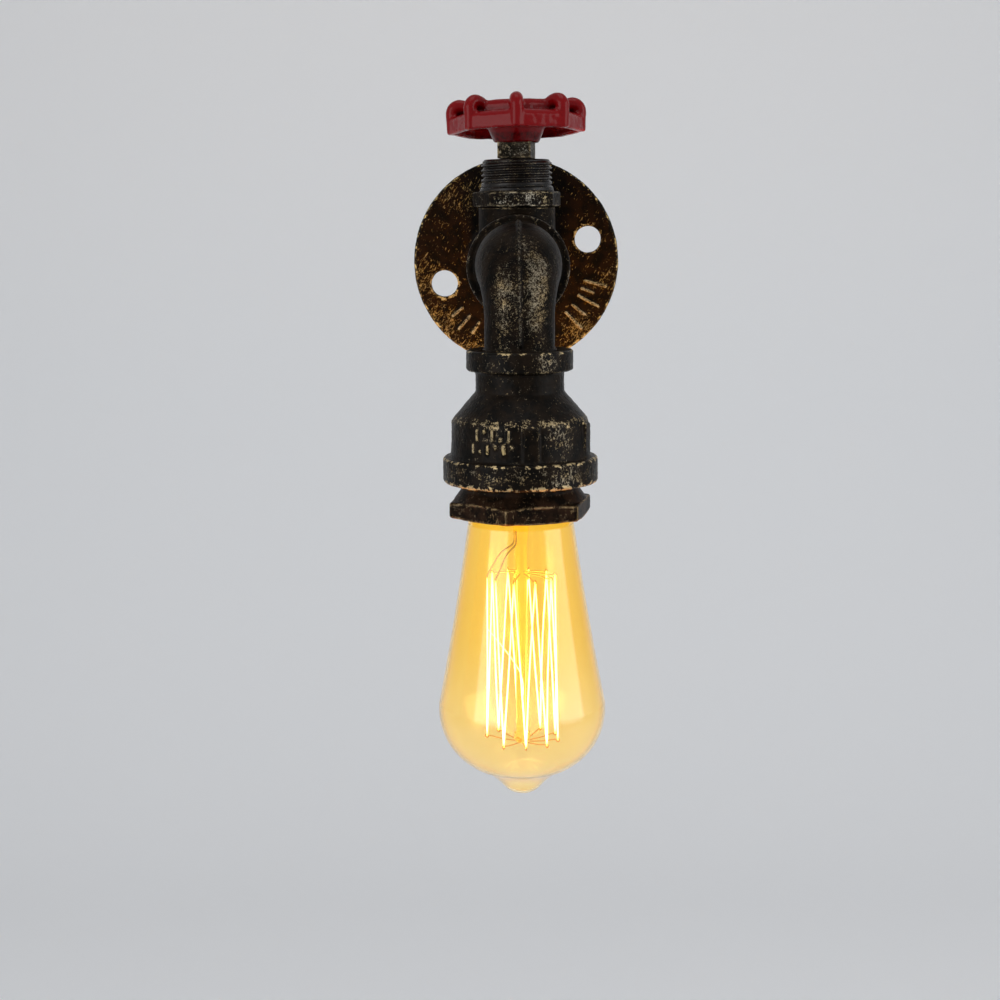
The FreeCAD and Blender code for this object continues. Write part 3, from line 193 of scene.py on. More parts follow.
class Bench:
    """Places and wires the nodes of one shader tree."""

    def __init__(self, tree: bpy.types.NodeTree) -> None:
        """Keeps the tree to work on."""
        self.tree = tree

    def add(self, kind: str, **settings: object) -> Node:
        """Adds a node.

        Args:
            kind: its Blender type.
            settings: attributes to set on it.

        Returns:
            The node.
        """
        node = self.tree.nodes.new(kind)
        for name, value in settings.items():
            setattr(node, name, value)
        return node

    def feed(self, socket: Socket, value: object) -> None:
        """Links a socket to another, or gives it a plain value.

        Args:
            socket: the input.
            value: an output socket, a number, a vector or a colour.
        """
        if isinstance(value, Socket):
            self.tree.links.new(value, socket)
        else:
            socket.default_value = value

    def fill(self, node: Node, values: dict[str, object]) -> None:
        """Feeds inputs of a node by name.

        Args:
            node: the node.
            values: a socket or a plain value for each input's name.
        """
        for name, value in values.items():
            self.feed(node.inputs[name], value)

    def put(self, how: Blend, first: object, second: object) -> Socket:
        """Puts two values together with a math node, kept between 0 and 1.

        Args:
            how: the operation.
            first: a socket or a number.
            second: a socket or a number.

        Returns:
            The result's socket.
        """
        node = self.add("ShaderNodeMath", operation=how.value, use_clamp=True)
        self.feed(node.inputs[0], first)
        self.feed(node.inputs[1], second)
        return node.outputs[0]

    def times(self, first: object, second: object) -> Socket:
        """The product of two values."""
        return self.put(Blend.MULTIPLY, first, second)

    def plus(self, first: object, second: object) -> Socket:
        """The sum of two values."""
        return self.put(Blend.ADD, first, second)

    def most(self, first: object, second: object) -> Socket:
        """The larger of two values."""
        return self.put(Blend.MAXIMUM, first, second)

    def measure(self, how: Measure, *vectors: object) -> Socket:
        """Works on vectors with a vector math node.

        Args:
            how: the operation.
            vectors: sockets or plain vectors.

        Returns:
            The result's socket.
        """
        operation, result = how.value
        node = self.add("ShaderNodeVectorMath", operation=operation)
        for number, vector in enumerate(vectors):
            self.feed(node.inputs[number], vector)
        return node.outputs[result]

    def span(self, value: object, low: float, high: float, to_low: float = 0.0,
             to_high: float = 1.0) -> Socket:
        """Maps a value smoothly from one range to another.

        Args:
            value: the socket to map.
            low: input that gives to_low.
            high: input that gives to_high.
            to_low: result at low.
            to_high: result at high.

        Returns:
            The mapped socket.
        """
        node = self.add("ShaderNodeMapRange", interpolation_type="SMOOTHSTEP")
        self.fill(node, {"Value": value, "From Min": low, "From Max": high, "To Min": to_low, "To Max": to_high})
        return node.outputs["Result"]

    def mix(self, factor: object, first: object, second: object) -> Socket:
        """Mixes two colours.

        Args:
            factor: share of the second colour.
            first: a colour or a colour socket.
            second: a colour or a colour socket.

        Returns:
            The mixed colour.
        """
        node = self.add("ShaderNodeMix", data_type="RGBA")
        for number, value in ((0, factor), (6, first), (7, second)):
            self.feed(node.inputs[number], value)
        return node.outputs[2]

    def noise(self, pattern: Noise, place: Socket | None = None) -> Socket:
        """A noise value over a place.

        Args:
            pattern: the kind of noise.
            place: the coordinates, if they aren't the object's own.

        Returns:
            The value's socket.
        """
        node = self.add("ShaderNodeTexNoise")
        self.fill(node, {"Vector": self.place() if place is None else place, "Scale": pattern.scale,
                         "Detail": pattern.detail, "Roughness": pattern.roughness, "Distortion": pattern.warp})
        return node.outputs["Fac"]

    def place(self) -> Socket:
        """Coordinates on the object itself."""
        return self.add("ShaderNodeTexCoord").outputs["Object"]

    def split_place(self) -> Node:
        """Parts the coordinates on the object itself.

        Returns:
            A node with the outputs X, Y and Z.
        """
        split = self.add("ShaderNodeSeparateXYZ")
        self.feed(split.inputs[0], self.place())
        return split

    def height(self) -> Socket:
        """The object's own Z coordinate."""
        return self.split_place().outputs["Z"]

    def turned_place(self, turn: Triple, stretch: Triple) -> Socket:
        """Coordinates turned and then stretched, for a pattern with a grain.

        Args:
            turn: rotation in degrees.
            stretch: scale along the turned axes.

        Returns:
            The coordinates' socket.
        """
        turning = self.add("ShaderNodeMapping")
        self.fill(turning, {"Rotation": tuple(math.radians(v) for v in turn), "Vector": self.place()})
        stretching = self.add("ShaderNodeMapping")
        self.fill(stretching, {"Scale": stretch, "Vector": turning.outputs[0]})
        return stretching.outputs[0]

    def near(self, fleck_spot: FleckSpot) -> Socket:
        """How near the surface is to a place, from 0 outside its reach to its weight at its middle.

        Args:
            fleck_spot: the place and its reach.

        Returns:
            The nearness's socket.
        """
        gap = self.measure(Measure.DISTANCE, self.place(), mm(fleck_spot.x, fleck_spot.y, fleck_spot.z))
        reach = fleck_spot.reach * MM
        return self.span(gap, reach, fleck_spot.core * reach, 0.0, fleck_spot.weight)

    def beside(self, ring: Ring, wobble: Socket) -> Socket:
        """How near the surface is to a ring, from 0 outside its reach to its weight on it.

        Args:
            ring: the rubbed line.
            wobble: noise that makes the line uneven.

        Returns:
            The nearness's socket.
        """
        flat = Vector(ring.way.value)
        offset = self.measure(Measure.SUBTRACT, self.place(), mm(ring.x, ring.y, ring.z))
        spot = self.add("ShaderNodeCombineXYZ")
        self.feed(spot.inputs[0], self.measure(Measure.LENGTH, self.measure(Measure.MULTIPLY, offset, flat)))
        self.feed(spot.inputs[1], self.measure(Measure.DOT, offset, Vector((1.0, 1.0, 1.0)) - flat))
        gap = self.measure(Measure.DISTANCE, spot.outputs[0], (ring.radius * MM, 0.0, 0.0))
        reach = ring.reach * MM
        far, close = ring.fade
        uneven = self.plus(gap, self.times(wobble, reach))
        return self.span(uneven, far * reach, close * reach, 0.0, ring.weight)


class Group(Bench):
    """A shader node group with float sockets, to be wired between its two ends."""

    def __init__(self, name: str, inputs: dict[str, float], outputs: tuple[str, ...]) -> None:
        """Makes the empty group.

        Args:
            name: the group's name.
            inputs: input names with their defaults.
            outputs: output names.
        """
        super().__init__(bpy.data.node_groups.new(name, "ShaderNodeTree"))
        make = self.tree.interface.new_socket
        for label, value in inputs.items():
            make(name=label, in_out="INPUT", socket_type="NodeSocketFloat").default_value = value
        for label in outputs:
            make(name=label, in_out="OUTPUT", socket_type="NodeSocketFloat")
        self.entry = self.add("NodeGroupInput")
        self.out = self.add("NodeGroupOutput")


class Coat(Bench):
    """The tree of one material, around its Principled shader."""

    def __init__(self, name: str) -> None:
        """Makes the material with its shader and output.

        Args:
            name: the material's name.
        """
        self.material = bpy.data.materials.new(name)
        self.material.use_nodes = True
        super().__init__(self.material.node_tree)
        self.tree.nodes.clear()
        self.shader = self.add("ShaderNodeBsdfPrincipled")
        self.out = self.add("ShaderNodeOutputMaterial")
        self.feed(self.out.inputs["Surface"], self.shader.outputs["BSDF"])

    def use(self, group: Group, **values: float) -> Node:
        """Places a shared effect.

        Args:
            group: the effect.
            values: its input values by name.

        Returns:
            The group node.
        """
        node = self.add("ShaderNodeGroup", node_tree=group.tree)
        self.fill(node, values)
        return node

    def bump(self, height: object, distance: float, strength: float = 1.0) -> None:
        """Roughens the shader's normal.

        Args:
            height: the height socket.
            distance: depth in metres of a height of 1.
            strength: how much of it shows.
        """
        node = self.add("ShaderNodeBump")
        self.fill(node, {"Strength": strength, "Distance": distance, "Height": height})
        self.feed(self.shader.inputs["Normal"], node.outputs["Normal"])


@dataclass
class Effects:
    """Shared effects, each a node group that is built once."""

    samples: int = 6
    hollow_reach: float = 3.0 * MM
    worm_grain: Noise = Noise(1900.0, 2.0, 0.5, 1.2)
    coarse_grain: Noise = Noise(560.0, 2.0, 0.5)
    slow_patches: Noise = Noise(110.0, 3.0, 0.6, 0.4)
    broken_edge: Noise = Noise(420.0, 3.0, 0.65)
    worm_share: float = 0.7
    smears: Noise = Noise(130.0, 4.0, 0.6, 0.8)
    scratches: Noise = Noise(520.0, 2.0, 0.7, 1.5)
    scratch_stretch: Triple = (1.0, 1.0, 9.0)

    def __post_init__(self) -> None:
        """Builds the groups."""
        self.relief = self.build_relief()
        self.cast_grain = self.build_cast_grain()
        self.handling = self.build_handling()

    def build_relief(self) -> Group:
        """Masks of the outer edges, where paint rubs off, and of the hollows.

        Returns:
            The group, with the outputs Edge and Hollow.
        """
        group = Group("relief", {"Width": 1.2 * MM}, ("Edge", "Hollow"))
        bevel = group.add("ShaderNodeBevel", samples=self.samples)
        group.feed(bevel.inputs["Radius"], group.entry.outputs["Width"])
        surface = group.add("ShaderNodeNewGeometry")
        facing = group.measure(Measure.DOT, bevel.outputs[0], surface.outputs["Normal"])
        turned = group.put(Blend.SUBTRACT, 1.0, facing)
        shade = group.add("ShaderNodeAmbientOcclusion", samples=self.samples)
        group.feed(shade.inputs["Distance"], self.hollow_reach)
        open_side = group.span(shade.outputs["AO"], 0.55, 0.85)
        group.fill(group.out, {"Edge": group.times(group.span(turned, 0.012, 0.06), open_side),
                               "Hollow": group.span(shade.outputs["AO"], 0.8, 0.35)})
        return group

    def build_cast_grain(self) -> Group:
        """Sand-cast skin: its worm-like height, slow patches, and the break-up of a rubbed edge.

        Returns:
            The group, with the outputs Height, Patch and Break.
        """
        group = Group("cast_grain", {"Fineness": 1.0, "Upright": 1.0}, ("Height", "Patch", "Break"))
        sized = group.add("ShaderNodeVectorMath", operation="SCALE")
        group.feed(sized.inputs[0], group.place())
        group.feed(sized.inputs["Scale"], group.entry.outputs["Fineness"])
        spot = sized.outputs[0]
        drawn = group.add("ShaderNodeCombineXYZ")
        for socket, value in zip(drawn.inputs, (1.0, 1.0, group.entry.outputs["Upright"])):
            group.feed(socket, value)
        worms = group.noise(self.worm_grain, group.measure(Measure.MULTIPLY, spot, drawn.outputs[0]))
        coarse = group.noise(self.coarse_grain, spot)
        fine_part, coarse_part = group.times(worms, self.worm_share), group.times(coarse, 1.0 - self.worm_share)
        group.fill(group.out, {
            "Height": group.plus(fine_part, coarse_part),
            "Patch": group.span(group.noise(self.slow_patches, spot), 0.45, 0.62),
            "Break": group.span(group.noise(self.broken_edge, spot), 0.62, 0.40)})
        return group

    def build_handling(self) -> Group:
        """Faint smears and fine scratches that vary a gloss.

        Returns:
            The group, with the outputs Smear and Scratch.
        """
        group = Group("handling", {"Amount": 1.0}, ("Smear", "Scratch"))
        amount = group.entry.outputs["Amount"]
        drawn = group.turned_place((0.0, 0.0, 0.0), self.scratch_stretch)
        group.fill(group.out, {
            "Smear": group.times(group.span(group.noise(self.smears), 0.35, 0.7), amount),
            "Scratch": group.times(group.span(group.noise(self.scratches, drawn), 0.66, 0.72), amount)})
        return group


@dataclass(frozen=True)
class AgedIron:
    """Blackened casting, dry-brushed with a pale metallic paint on edges and high spots, with some flecks and
    glints that are painted light.
    """

    name: str
    dark: Colour = rgb(0.0035, 0.0028, 0.002)
    brown: Colour = rgb(0.012, 0.0075, 0.0042)
    gold: Colour = rgb(0.24, 0.175, 0.09)
    pewter: Colour = rgb(0.215, 0.18, 0.125)
    worn_and_glint: Colour = rgb(0.50, 0.38, 0.20)
    fineness: float = 1.0
    upright: float = 1.0
    cover: float = 0.0
    patchy: float = 0.3
    edge_share: float = 0.8
    edge_width: float = 1.2 * MM
    fleck_spots: tuple[FleckSpot, ...] = ()
    bands: tuple[Ring, ...] = ()
    rings: tuple[Ring, ...] = ()
    cover_lift: float = 0.15
    rub_lift: float = 0.24
    lift_span: Pair = (0.65, 0.70)
    streak_share: float = 0.0
    streak_turn: Triple = (0.0, -32.0, 0.0)
    streak_stretch: Triple = (1.0, 1.0, 0.16)
    streak_grain: Noise = Noise(2100.0, 2.0, 0.6)
    streak_lift: float = 0.13
    streak_span: Pair = (0.66, 0.72)
    paint_hues: Noise = Noise(160.0)
    ground_hues: Noise = Noise(230.0, 2.0)
    gloss: float = 0.38
    paint_gloss: float = 0.40
    paint_metal: float = 0.85
    sheen: float = 0.03
    depth: float = 0.09 * MM

    def coverage(self, coat: Coat, grain: Node) -> Socket:
        """How thickly the brush left its paint on the open faces, with more on the given spots, some of which are
        painted highlight.

        Args:
            coat: the material's tree.
            grain: the cast grain's group.

        Returns:
            The coverage's socket.
        """
        cover = coat.plus(coat.times(grain.outputs["Patch"], self.patchy), self.cover)
        for fleck_spot in self.fleck_spots:
            cover = coat.plus(cover, coat.near(fleck_spot))
        for band in self.bands:
            cover = coat.plus(cover, coat.beside(band, grain.outputs["Break"]))
        return cover

    def rub_and_glint(self, coat: Coat, edge: Socket, broken: Socket) -> Socket:
        """Where edges and ridges are rubbed pale, and where rings lay painted glints.

        Args:
            coat: the material's tree.
            edge: the mask of outer edges.
            broken: noise that breaks a rubbed line up.

        Returns:
            The rub's socket.
        """
        keep = coat.span(broken, 0.0, 1.0, 1.0, 0.35)
        rub_and_glint = coat.times(coat.times(edge, keep), self.edge_share)
        for ring in self.rings:
            rub_and_glint = coat.most(rub_and_glint, coat.beside(ring, broken))
        return rub_and_glint

    def brushed(self, coat: Coat, grain: Node, cover: Socket, rub_and_glint: Socket) -> Socket:
        """Where the brush left paint: on high grain, more of it where it pressed or the edge is rubbed.

        Args:
            coat: the material's tree.
            grain: the cast grain's group.
            cover: how thickly the brush left its paint.
            rub_and_glint: where edges and ridges are rubbed, with the painted glints.

        Returns:
            The paint's mask.
        """
        lifted = coat.plus(grain.outputs["Height"], coat.times(cover, self.cover_lift))
        lifted = coat.plus(lifted, coat.times(rub_and_glint, self.rub_lift))
        brushed = coat.span(lifted, *self.lift_span)
        if self.streak_share:
            strokes = coat.noise(self.streak_grain, coat.turned_place(self.streak_turn, self.streak_stretch))
            streak = coat.span(coat.plus(strokes, coat.times(cover, self.streak_lift)), *self.streak_span)
            brushed = coat.most(brushed, coat.times(streak, self.streak_share))
        return brushed

    def build(self, effects: Effects) -> bpy.types.Material:
        """Builds the material.

        Args:
            effects: the shared effects.

        Returns:
            The material.
        """
        coat = Coat(self.name)
        grain = coat.use(effects.cast_grain, Fineness=self.fineness, Upright=self.upright)
        relief = coat.use(effects.relief, Width=self.edge_width)
        rub_and_glint = self.rub_and_glint(coat, relief.outputs["Edge"], grain.outputs["Break"])
        brushed = self.brushed(coat, grain, self.coverage(coat, grain), rub_and_glint)
        brushed = coat.times(brushed, coat.span(relief.outputs["Hollow"], 0.0, 1.0, 1.0, 0.05))
        paint = coat.mix(coat.span(coat.noise(self.paint_hues), 0.4, 0.6), self.gold, self.pewter)
        paint = coat.mix(rub_and_glint, paint, self.worn_and_glint)
        ground = coat.mix(coat.span(coat.noise(self.ground_hues), 0.35, 0.65), self.dark, self.brown)
        coat.fill(coat.shader, {
            "Base Color": coat.mix(brushed, ground, paint),
            "Metallic": coat.span(brushed, 0.0, 1.0, 0.0, self.paint_metal),
            "Roughness": coat.span(brushed, 0.0, 1.0, self.gloss, self.paint_gloss),
            "Specular IOR Level": self.sheen})
        coat.bump(grain.outputs["Height"], self.depth)
        return coat.material


@dataclass(frozen=True)
class RedEnamel:
    """Glossy enamel flowed over a casting, thin on the ridges, where it chips; painted shade darkens the red in
    the corners and on the foot of the hub.
    """

    name: str = "red_enamel"
    bright: Colour = rgb(0.21, 0.0016, 0.0035)
    # The darker red below is painted shade, laid into the hollows and round the hub's foot, where shade falls.
    shaded_red: Colour = rgb(0.055, 0.0006, 0.001)
    bare: Colour = rgb(0.55, 0.42, 0.38)
    edge_width: float = 0.9 * MM
    # Between these heights the red turns to painted shade in mottles towards the hub's foot, under the wheel.
    lit_level: float = 49.4 * MM
    shaded_level: float = 48.2 * MM
    chips: Noise = Noise(900.0, 3.0, 0.7)
    chip_span: Pair = (0.58, 0.63)
    chip_metal: float = 0.5
    mottling: Noise = Noise(700.0, 3.0, 0.6)
    least_shade: float = 0.45
    gloss: Pair = (0.26, 0.38)
    sheen: float = 0.05
    coat_weight: float = 0.32
    coat_ior: float = 1.4
    coat_gloss: float = 0.06
    waves: Noise = Noise(210.0, 2.0, 0.5)
    wave_depth: float = 0.7 * MM
    wave_strength: float = 0.6

    def build(self, effects: Effects) -> bpy.types.Material:
        """Builds the material.

        Args:
            effects: the shared effects.

        Returns:
            The material.
        """
        coat = Coat(self.name)
        relief = coat.use(effects.relief, Width=self.edge_width)
        wear = coat.use(effects.handling, Amount=1.0)
        chipped = coat.times(relief.outputs["Edge"], coat.span(coat.noise(self.chips), *self.chip_span))
        # Painted shade: the red darkens in the hollows, from the ambient-occlusion mask, and in mottles on the
        # hub's foot below the wheel.
        shaded_below = coat.span(coat.height(), self.lit_level, self.shaded_level)
        shade_mottle = coat.span(coat.noise(self.mottling), 0.35, 0.65, self.least_shade, 1.0)
        paint = coat.mix(relief.outputs["Hollow"], self.bright, self.shaded_red)
        paint = coat.mix(coat.times(shaded_below, shade_mottle), paint, self.shaded_red)
        coat.fill(coat.shader, {
            "Base Color": coat.mix(chipped, paint, self.bare),
            "Roughness": coat.span(wear.outputs["Smear"], 0.0, 1.0, *self.gloss),
            "Metallic": coat.times(chipped, self.chip_metal),
            "Specular IOR Level": self.sheen,
            "Coat Weight": self.coat_weight,
            "Coat IOR": self.coat_ior,
            "Coat Roughness": self.coat_gloss})
        coat.bump(coat.noise(self.waves), self.wave_depth, self.wave_strength)
        return coat.material


@dataclass(frozen=True)
class TurnedMetal:
    """Machined or drawn metal with smears and fine scratches."""

    name: str
    colour: Colour
    dull: Colour
    roughness: float = 0.3
    smeared: float = 0.16
    scratch_depth: float = 0.06 * MM
    scratch_strength: float = 0.6

    def build(self, effects: Effects) -> bpy.types.Material:
        """Builds the material.

        Args:
            effects: the shared effects.

        Returns:
            The material.
        """
        coat = Coat(self.name)
        wear = coat.use(effects.handling, Amount=1.0)
        smear = wear.outputs["Smear"]
        coat.fill(coat.shader, {
            "Base Color": coat.mix(smear, self.colour, self.dull),
            "Roughness": coat.span(smear, 0.0, 1.0, self.roughness, self.roughness + self.smeared),
            "Metallic": 1.0})
        coat.bump(wear.outputs["Scratch"], self.scratch_depth, self.scratch_strength)
        return coat.material


@dataclass(frozen=True)
class MouldedStuff:
    """Moulded or sleeved material that isn't metal."""

    name: str
    colour: Colour
    pale: Colour
    roughness: float = 0.45
    handled: float = 0.8
    smeared: float = 0.15
    grain: Noise = Noise(600.0)
    depth: float = 0.05 * MM

    def build(self, effects: Effects) -> bpy.types.Material:
        """Builds the material.

        Args:
            effects: the shared effects.

        Returns:
            The material.
        """
        coat = Coat(self.name)
        smear = coat.use(effects.handling, Amount=self.handled).outputs["Smear"]
        coat.fill(coat.shader, {
            "Base Color": coat.mix(smear, self.colour, self.pale),
            "Roughness": coat.span(smear, 0.0, 1.0, self.roughness, self.roughness + self.smeared)})
        coat.bump(coat.noise(self.grain), self.depth)
        return coat.material


@dataclass(frozen=True)
class BlownGlass:
    """Thin tinted glass, deeper in colour at the top and at its outline, with the faint waves of blowing and a
    faint painted glow of its own.
    """

    name: str
    tint: Colour
    pale: Colour
    rim: Colour
    # The glass's own emission is a painted glow, standing in for the lit filament's light caught in the glass.
    glow: Colour
    painted_glow_strength: float
    deep_level: float = -120.0 * MM
    pale_level: float = -176.0 * MM
    rim_span: Pair = (0.6, 1.0)
    ior: float = 1.2
    coat_weight: float = 0.85
    coat_gloss: float = 0.16
    coat_ior: float = 1.55
    waves: Noise = Noise(60.0, 2.0)
    wave_depth: float = 0.25 * MM
    wave_strength: float = 0.3

    def build(self, effects: Effects) -> bpy.types.Material:
        """Builds the material. Shadow rays pass straight through, as they nearly do through a thin wall.

        Args:
            effects: the shared effects, of which glass takes none.

        Returns:
            The material.
        """
        coat = Coat(self.name)
        shade = coat.span(coat.height(), self.deep_level, self.pale_level)
        grazing = coat.add("ShaderNodeLayerWeight")
        coat.feed(grazing.inputs["Blend"], 0.5)
        at_rim = coat.span(grazing.outputs["Facing"], *self.rim_span)
        tint = coat.mix(at_rim, coat.mix(shade, self.tint, self.pale), self.rim)
        coat.fill(coat.shader, {
            "Base Color": tint,
            "Roughness": 0.0,
            "Transmission Weight": 1.0,
            "IOR": self.ior,
            "Coat Weight": self.coat_weight,
            "Coat Roughness": self.coat_gloss,
            "Coat IOR": self.coat_ior,
            # Painted glow: the glass emits a faint warm light of its own.
            "Emission Color": self.glow,
            "Emission Strength": self.painted_glow_strength})
        coat.bump(coat.noise(self.waves), self.wave_depth, self.wave_strength)
        clear = coat.add("ShaderNodeBsdfTransparent")
        coat.feed(clear.inputs["Color"], tint)
        way = coat.add("ShaderNodeLightPath")
        split = coat.add("ShaderNodeMixShader")
        sources = (way.outputs["Is Shadow Ray"], coat.shader.outputs["BSDF"], clear.outputs["BSDF"])
        for socket, source in zip(split.inputs, sources):
            coat.feed(socket, source)
        coat.feed(coat.out.inputs["Surface"], split.outputs[0])
        return coat.material


@dataclass(frozen=True)
class Glow:
    """A lit wire, hottest in its middle and darker where its hooks cool it; the support hooks take it too, as a
    painted glow.
    """

    name: str
    hot: Colour
    cool: Colour
    strength: float
    wire: Colour = rgb(0.25, 0.12, 0.04)
    top: float = -110.0 * MM
    foot: float = -166.0 * MM
    top_fade: float = 5.0 * MM
    foot_fade: float = 2.0 * MM
    mottling: Noise = Noise(900.0)
    gloss: Pair = (0.4, 0.6)

    def build(self, effects: Effects) -> bpy.types.Material:
        """Builds the material.

        Args:
            effects: the shared effects, of which a lit wire takes none.

        Returns:
            The material.
        """
        coat = Coat(self.name)
        height = coat.height()
        cooled_above = coat.span(height, self.top - self.top_fade, self.top + self.top_fade)
        cooled_below = coat.span(height, self.foot + self.foot_fade, self.foot - self.foot_fade)
        cooled = coat.most(cooled_above, cooled_below)
        coat.fill(coat.shader, {
            "Base Color": self.wire,
            "Roughness": coat.span(coat.noise(self.mottling), 0.3, 0.7, *self.gloss),
            "Emission Color": coat.mix(cooled, self.hot, self.cool),
            "Emission Strength": self.strength})
        return coat.material


FINISHES = (
    AgedIron("flange_iron", dark=rgb(0.0025, 0.002, 0.0015), brown=rgb(0.007, 0.004, 0.0025),
             gold=rgb(0.36, 0.24, 0.08), pewter=rgb(0.30, 0.22, 0.10), worn_and_glint=rgb(0.60, 0.43, 0.18),
             patchy=0.1, streak_share=0.8, edge_width=1.4 * MM,
             # The spots low on the flange gather flecks partly as dry-brush wear and partly as a painted pool of
             # the bulb's warm light.
             fleck_spots=(FleckSpot(-37, -5, -6, 12, 0.5), FleckSpot(-31, -5, -24, 12, 0.6), FleckSpot(-18, -5, -37, 11, 0.7),
                      FleckSpot(-23, -5, 26, 12, 0.35), FleckSpot(27, -5, -30, 13, 0.6), FleckSpot(37, -5, -8, 8, 0.4)),
             # The two small rings round the bolt holes are painted glints of the bulb's warm light on the holes'
             # rims; the large ring is the rubbed outer rim.
             rings=(Ring(-4.8, 0, 40.9, 1.0, 0.9, Way.LEVEL),
                    Ring(-4.9, 9.0, 5.4, 1.0, 0.8, Way.LEVEL, 28.6),
                    Ring(-4.9, -9.0, 5.4, 1.0, 0.8, Way.LEVEL, -28.6))),
    AgedIron("elbow_iron", worn_and_glint=rgb(0.36, 0.32, 0.25), edge_width=0.9 * MM, patchy=0.25, fineness=1.4,
             # The elbow's spots lie where the highlights fall on either side of its seam: their pale metallic
             # flecks are partly dry-brush wear and partly painted highlight.
             fleck_spots=(FleckSpot(7.5, -109, 2, 8, 0.9), FleckSpot(7.5, -113, -5, 9, 1.1), FleckSpot(7.5, -115.5, -14, 9, 0.9),
                      FleckSpot(7, -114, -23, 8, 0.35), FleckSpot(-6, -111, -2, 7, 0.5), FleckSpot(-6, -114, -8, 8, 0.8),
                      FleckSpot(-6, -115.5, -16, 8, 0.55), FleckSpot(-5.5, -114, -24, 7, 0.3),
                      FleckSpot(2, -104, 8, 9, 0.4)),
             rings=(Ring(-77.3, 0, 18.6, 1.6, 0.45, Way.LEVEL), Ring(-70.4, 0, 18.6, 1.2, 0.35, Way.LEVEL))),
    AgedIron("reducer_iron", upright=0.6, patchy=0.15, gloss=0.33, sheen=0.06, fineness=1.1,
             fleck_spots=(FleckSpot(-10, -124, -55, 8, 0.35), FleckSpot(14, -122, -56, 9, 0.5), FleckSpot(15, -124, -69, 9, 0.5),
                      FleckSpot(9, -119, -31, 6, 0.6)),
             bands=(Ring(-102, -69.3, 27.3, 5.0, 0.65), Ring(-102, -31.0, 18.8, 4.0, 0.25)),
             rings=(Ring(-102, -27.4, 18.5, 0.9, 0.9), Ring(-102, -34.6, 18.5, 0.6, 0.5),
                    # Along the low band's bottom edge the pale line is rubbed wear and partly a painted highlight
                    # of the bulb's light under the band.
                    Ring(-102, -64.8, 27.1, 1.1), Ring(-102, -73.4, 27.2, 1.4),
                    Ring(-102, -51.0, 23.6, 2.2, 0.55))),
    AgedIron("bush_iron", dark=rgb(0.006, 0.004, 0.0025), brown=rgb(0.026, 0.013, 0.007),
             gold=rgb(0.26, 0.17, 0.08), pewter=rgb(0.22, 0.165, 0.10), worn_and_glint=rgb(0.46, 0.32, 0.16),
             cover=0.1, patchy=0.35, upright=0.7, edge_share=1.7),
    AgedIron("rubbed_iron", gold=rgb(0.48, 0.36, 0.17), pewter=rgb(0.40, 0.32, 0.19), cover=1.0, fineness=0.8),
    AgedIron("tee_iron", patchy=0.25),
    AgedIron("collar_iron", gold=rgb(0.25, 0.195, 0.11), pewter=rgb(0.23, 0.21, 0.17),
             worn_and_glint=rgb(0.36, 0.29, 0.18), fineness=0.9,
             fleck_spots=(FleckSpot(-4, -58, 23, 8, 0.6), FleckSpot(7, -57, 23, 8, 0.6))),
    AgedIron("thread_iron", patchy=0.1, edge_share=0.9, edge_width=0.5 * MM, gloss=0.24, sheen=0.22),
    AgedIron("black_pipe", patchy=0.1),
    AgedIron("worn_square", dark=rgb(0.011, 0.009, 0.006), brown=rgb(0.035, 0.027, 0.018),
             gold=rgb(0.27, 0.215, 0.13), pewter=rgb(0.24, 0.22, 0.18), cover=0.5, patchy=0.4),
    RedEnamel(),
    TurnedMetal("turned_brass", rgb(0.72, 0.50, 0.22), rgb(0.42, 0.29, 0.13)),
    TurnedMetal("contact_brass", rgb(0.78, 0.56, 0.27), rgb(0.5, 0.36, 0.18)),
    TurnedMetal("plated_steel", rgb(0.62, 0.62, 0.60), rgb(0.42, 0.42, 0.40)),
    TurnedMetal("spring_steel", rgb(0.30, 0.31, 0.34), rgb(0.18, 0.18, 0.2)),
    TurnedMetal("solder_tin", rgb(0.55, 0.55, 0.53), rgb(0.36, 0.36, 0.35), roughness=0.45),
    TurnedMetal("lead_wire", rgb(0.46, 0.30, 0.14), rgb(0.28, 0.17, 0.08)),
    MouldedStuff("black_phenolic", rgb(0.012, 0.011, 0.010), rgb(0.03, 0.027, 0.024)),
    MouldedStuff("ivory_phenolic", rgb(0.60, 0.53, 0.38), rgb(0.68, 0.62, 0.48)),
    MouldedStuff("packing_fibre", rgb(0.20, 0.17, 0.11), rgb(0.30, 0.26, 0.18), roughness=0.8),
    MouldedStuff("gasket_rubber", rgb(0.016, 0.016, 0.016), rgb(0.035, 0.035, 0.035), roughness=0.7),
    MouldedStuff("brown_insulation", rgb(0.10, 0.04, 0.018), rgb(0.14, 0.06, 0.03), roughness=0.35),
    MouldedStuff("blue_insulation", rgb(0.015, 0.07, 0.26), rgb(0.03, 0.10, 0.32), roughness=0.35),
    MouldedStuff("black_glass", rgb(0.008, 0.008, 0.009), rgb(0.014, 0.014, 0.014), roughness=0.12),
    # Both glasses carry a faint painted glow from their emission.
    BlownGlass("amber_glass", tint=rgb(1.0, 0.78, 0.28), pale=rgb(1.0, 0.88, 0.60), rim=rgb(0.82, 0.43, 0.07),
               glow=rgb(1.0, 0.62, 0.015), painted_glow_strength=0.088),
    BlownGlass("clear_glass", tint=rgb(1.0, 0.80, 0.40), pale=rgb(1.0, 0.80, 0.40), rim=rgb(0.95, 0.60, 0.15),
               glow=rgb(1.0, 0.52, 0.04), painted_glow_strength=0.16),
    Glow("glowing_filament", hot=rgb(1.0, 0.80, 0.48), cool=rgb(1.0, 0.45, 0.08), strength=7.0),
    # The hooks are no lamp: their faint orange emission is a painted glow.
    Glow("hook_wire", hot=rgb(0.46, 0.16, 0.02), cool=rgb(0.46, 0.16, 0.02), strength=0.6),
)

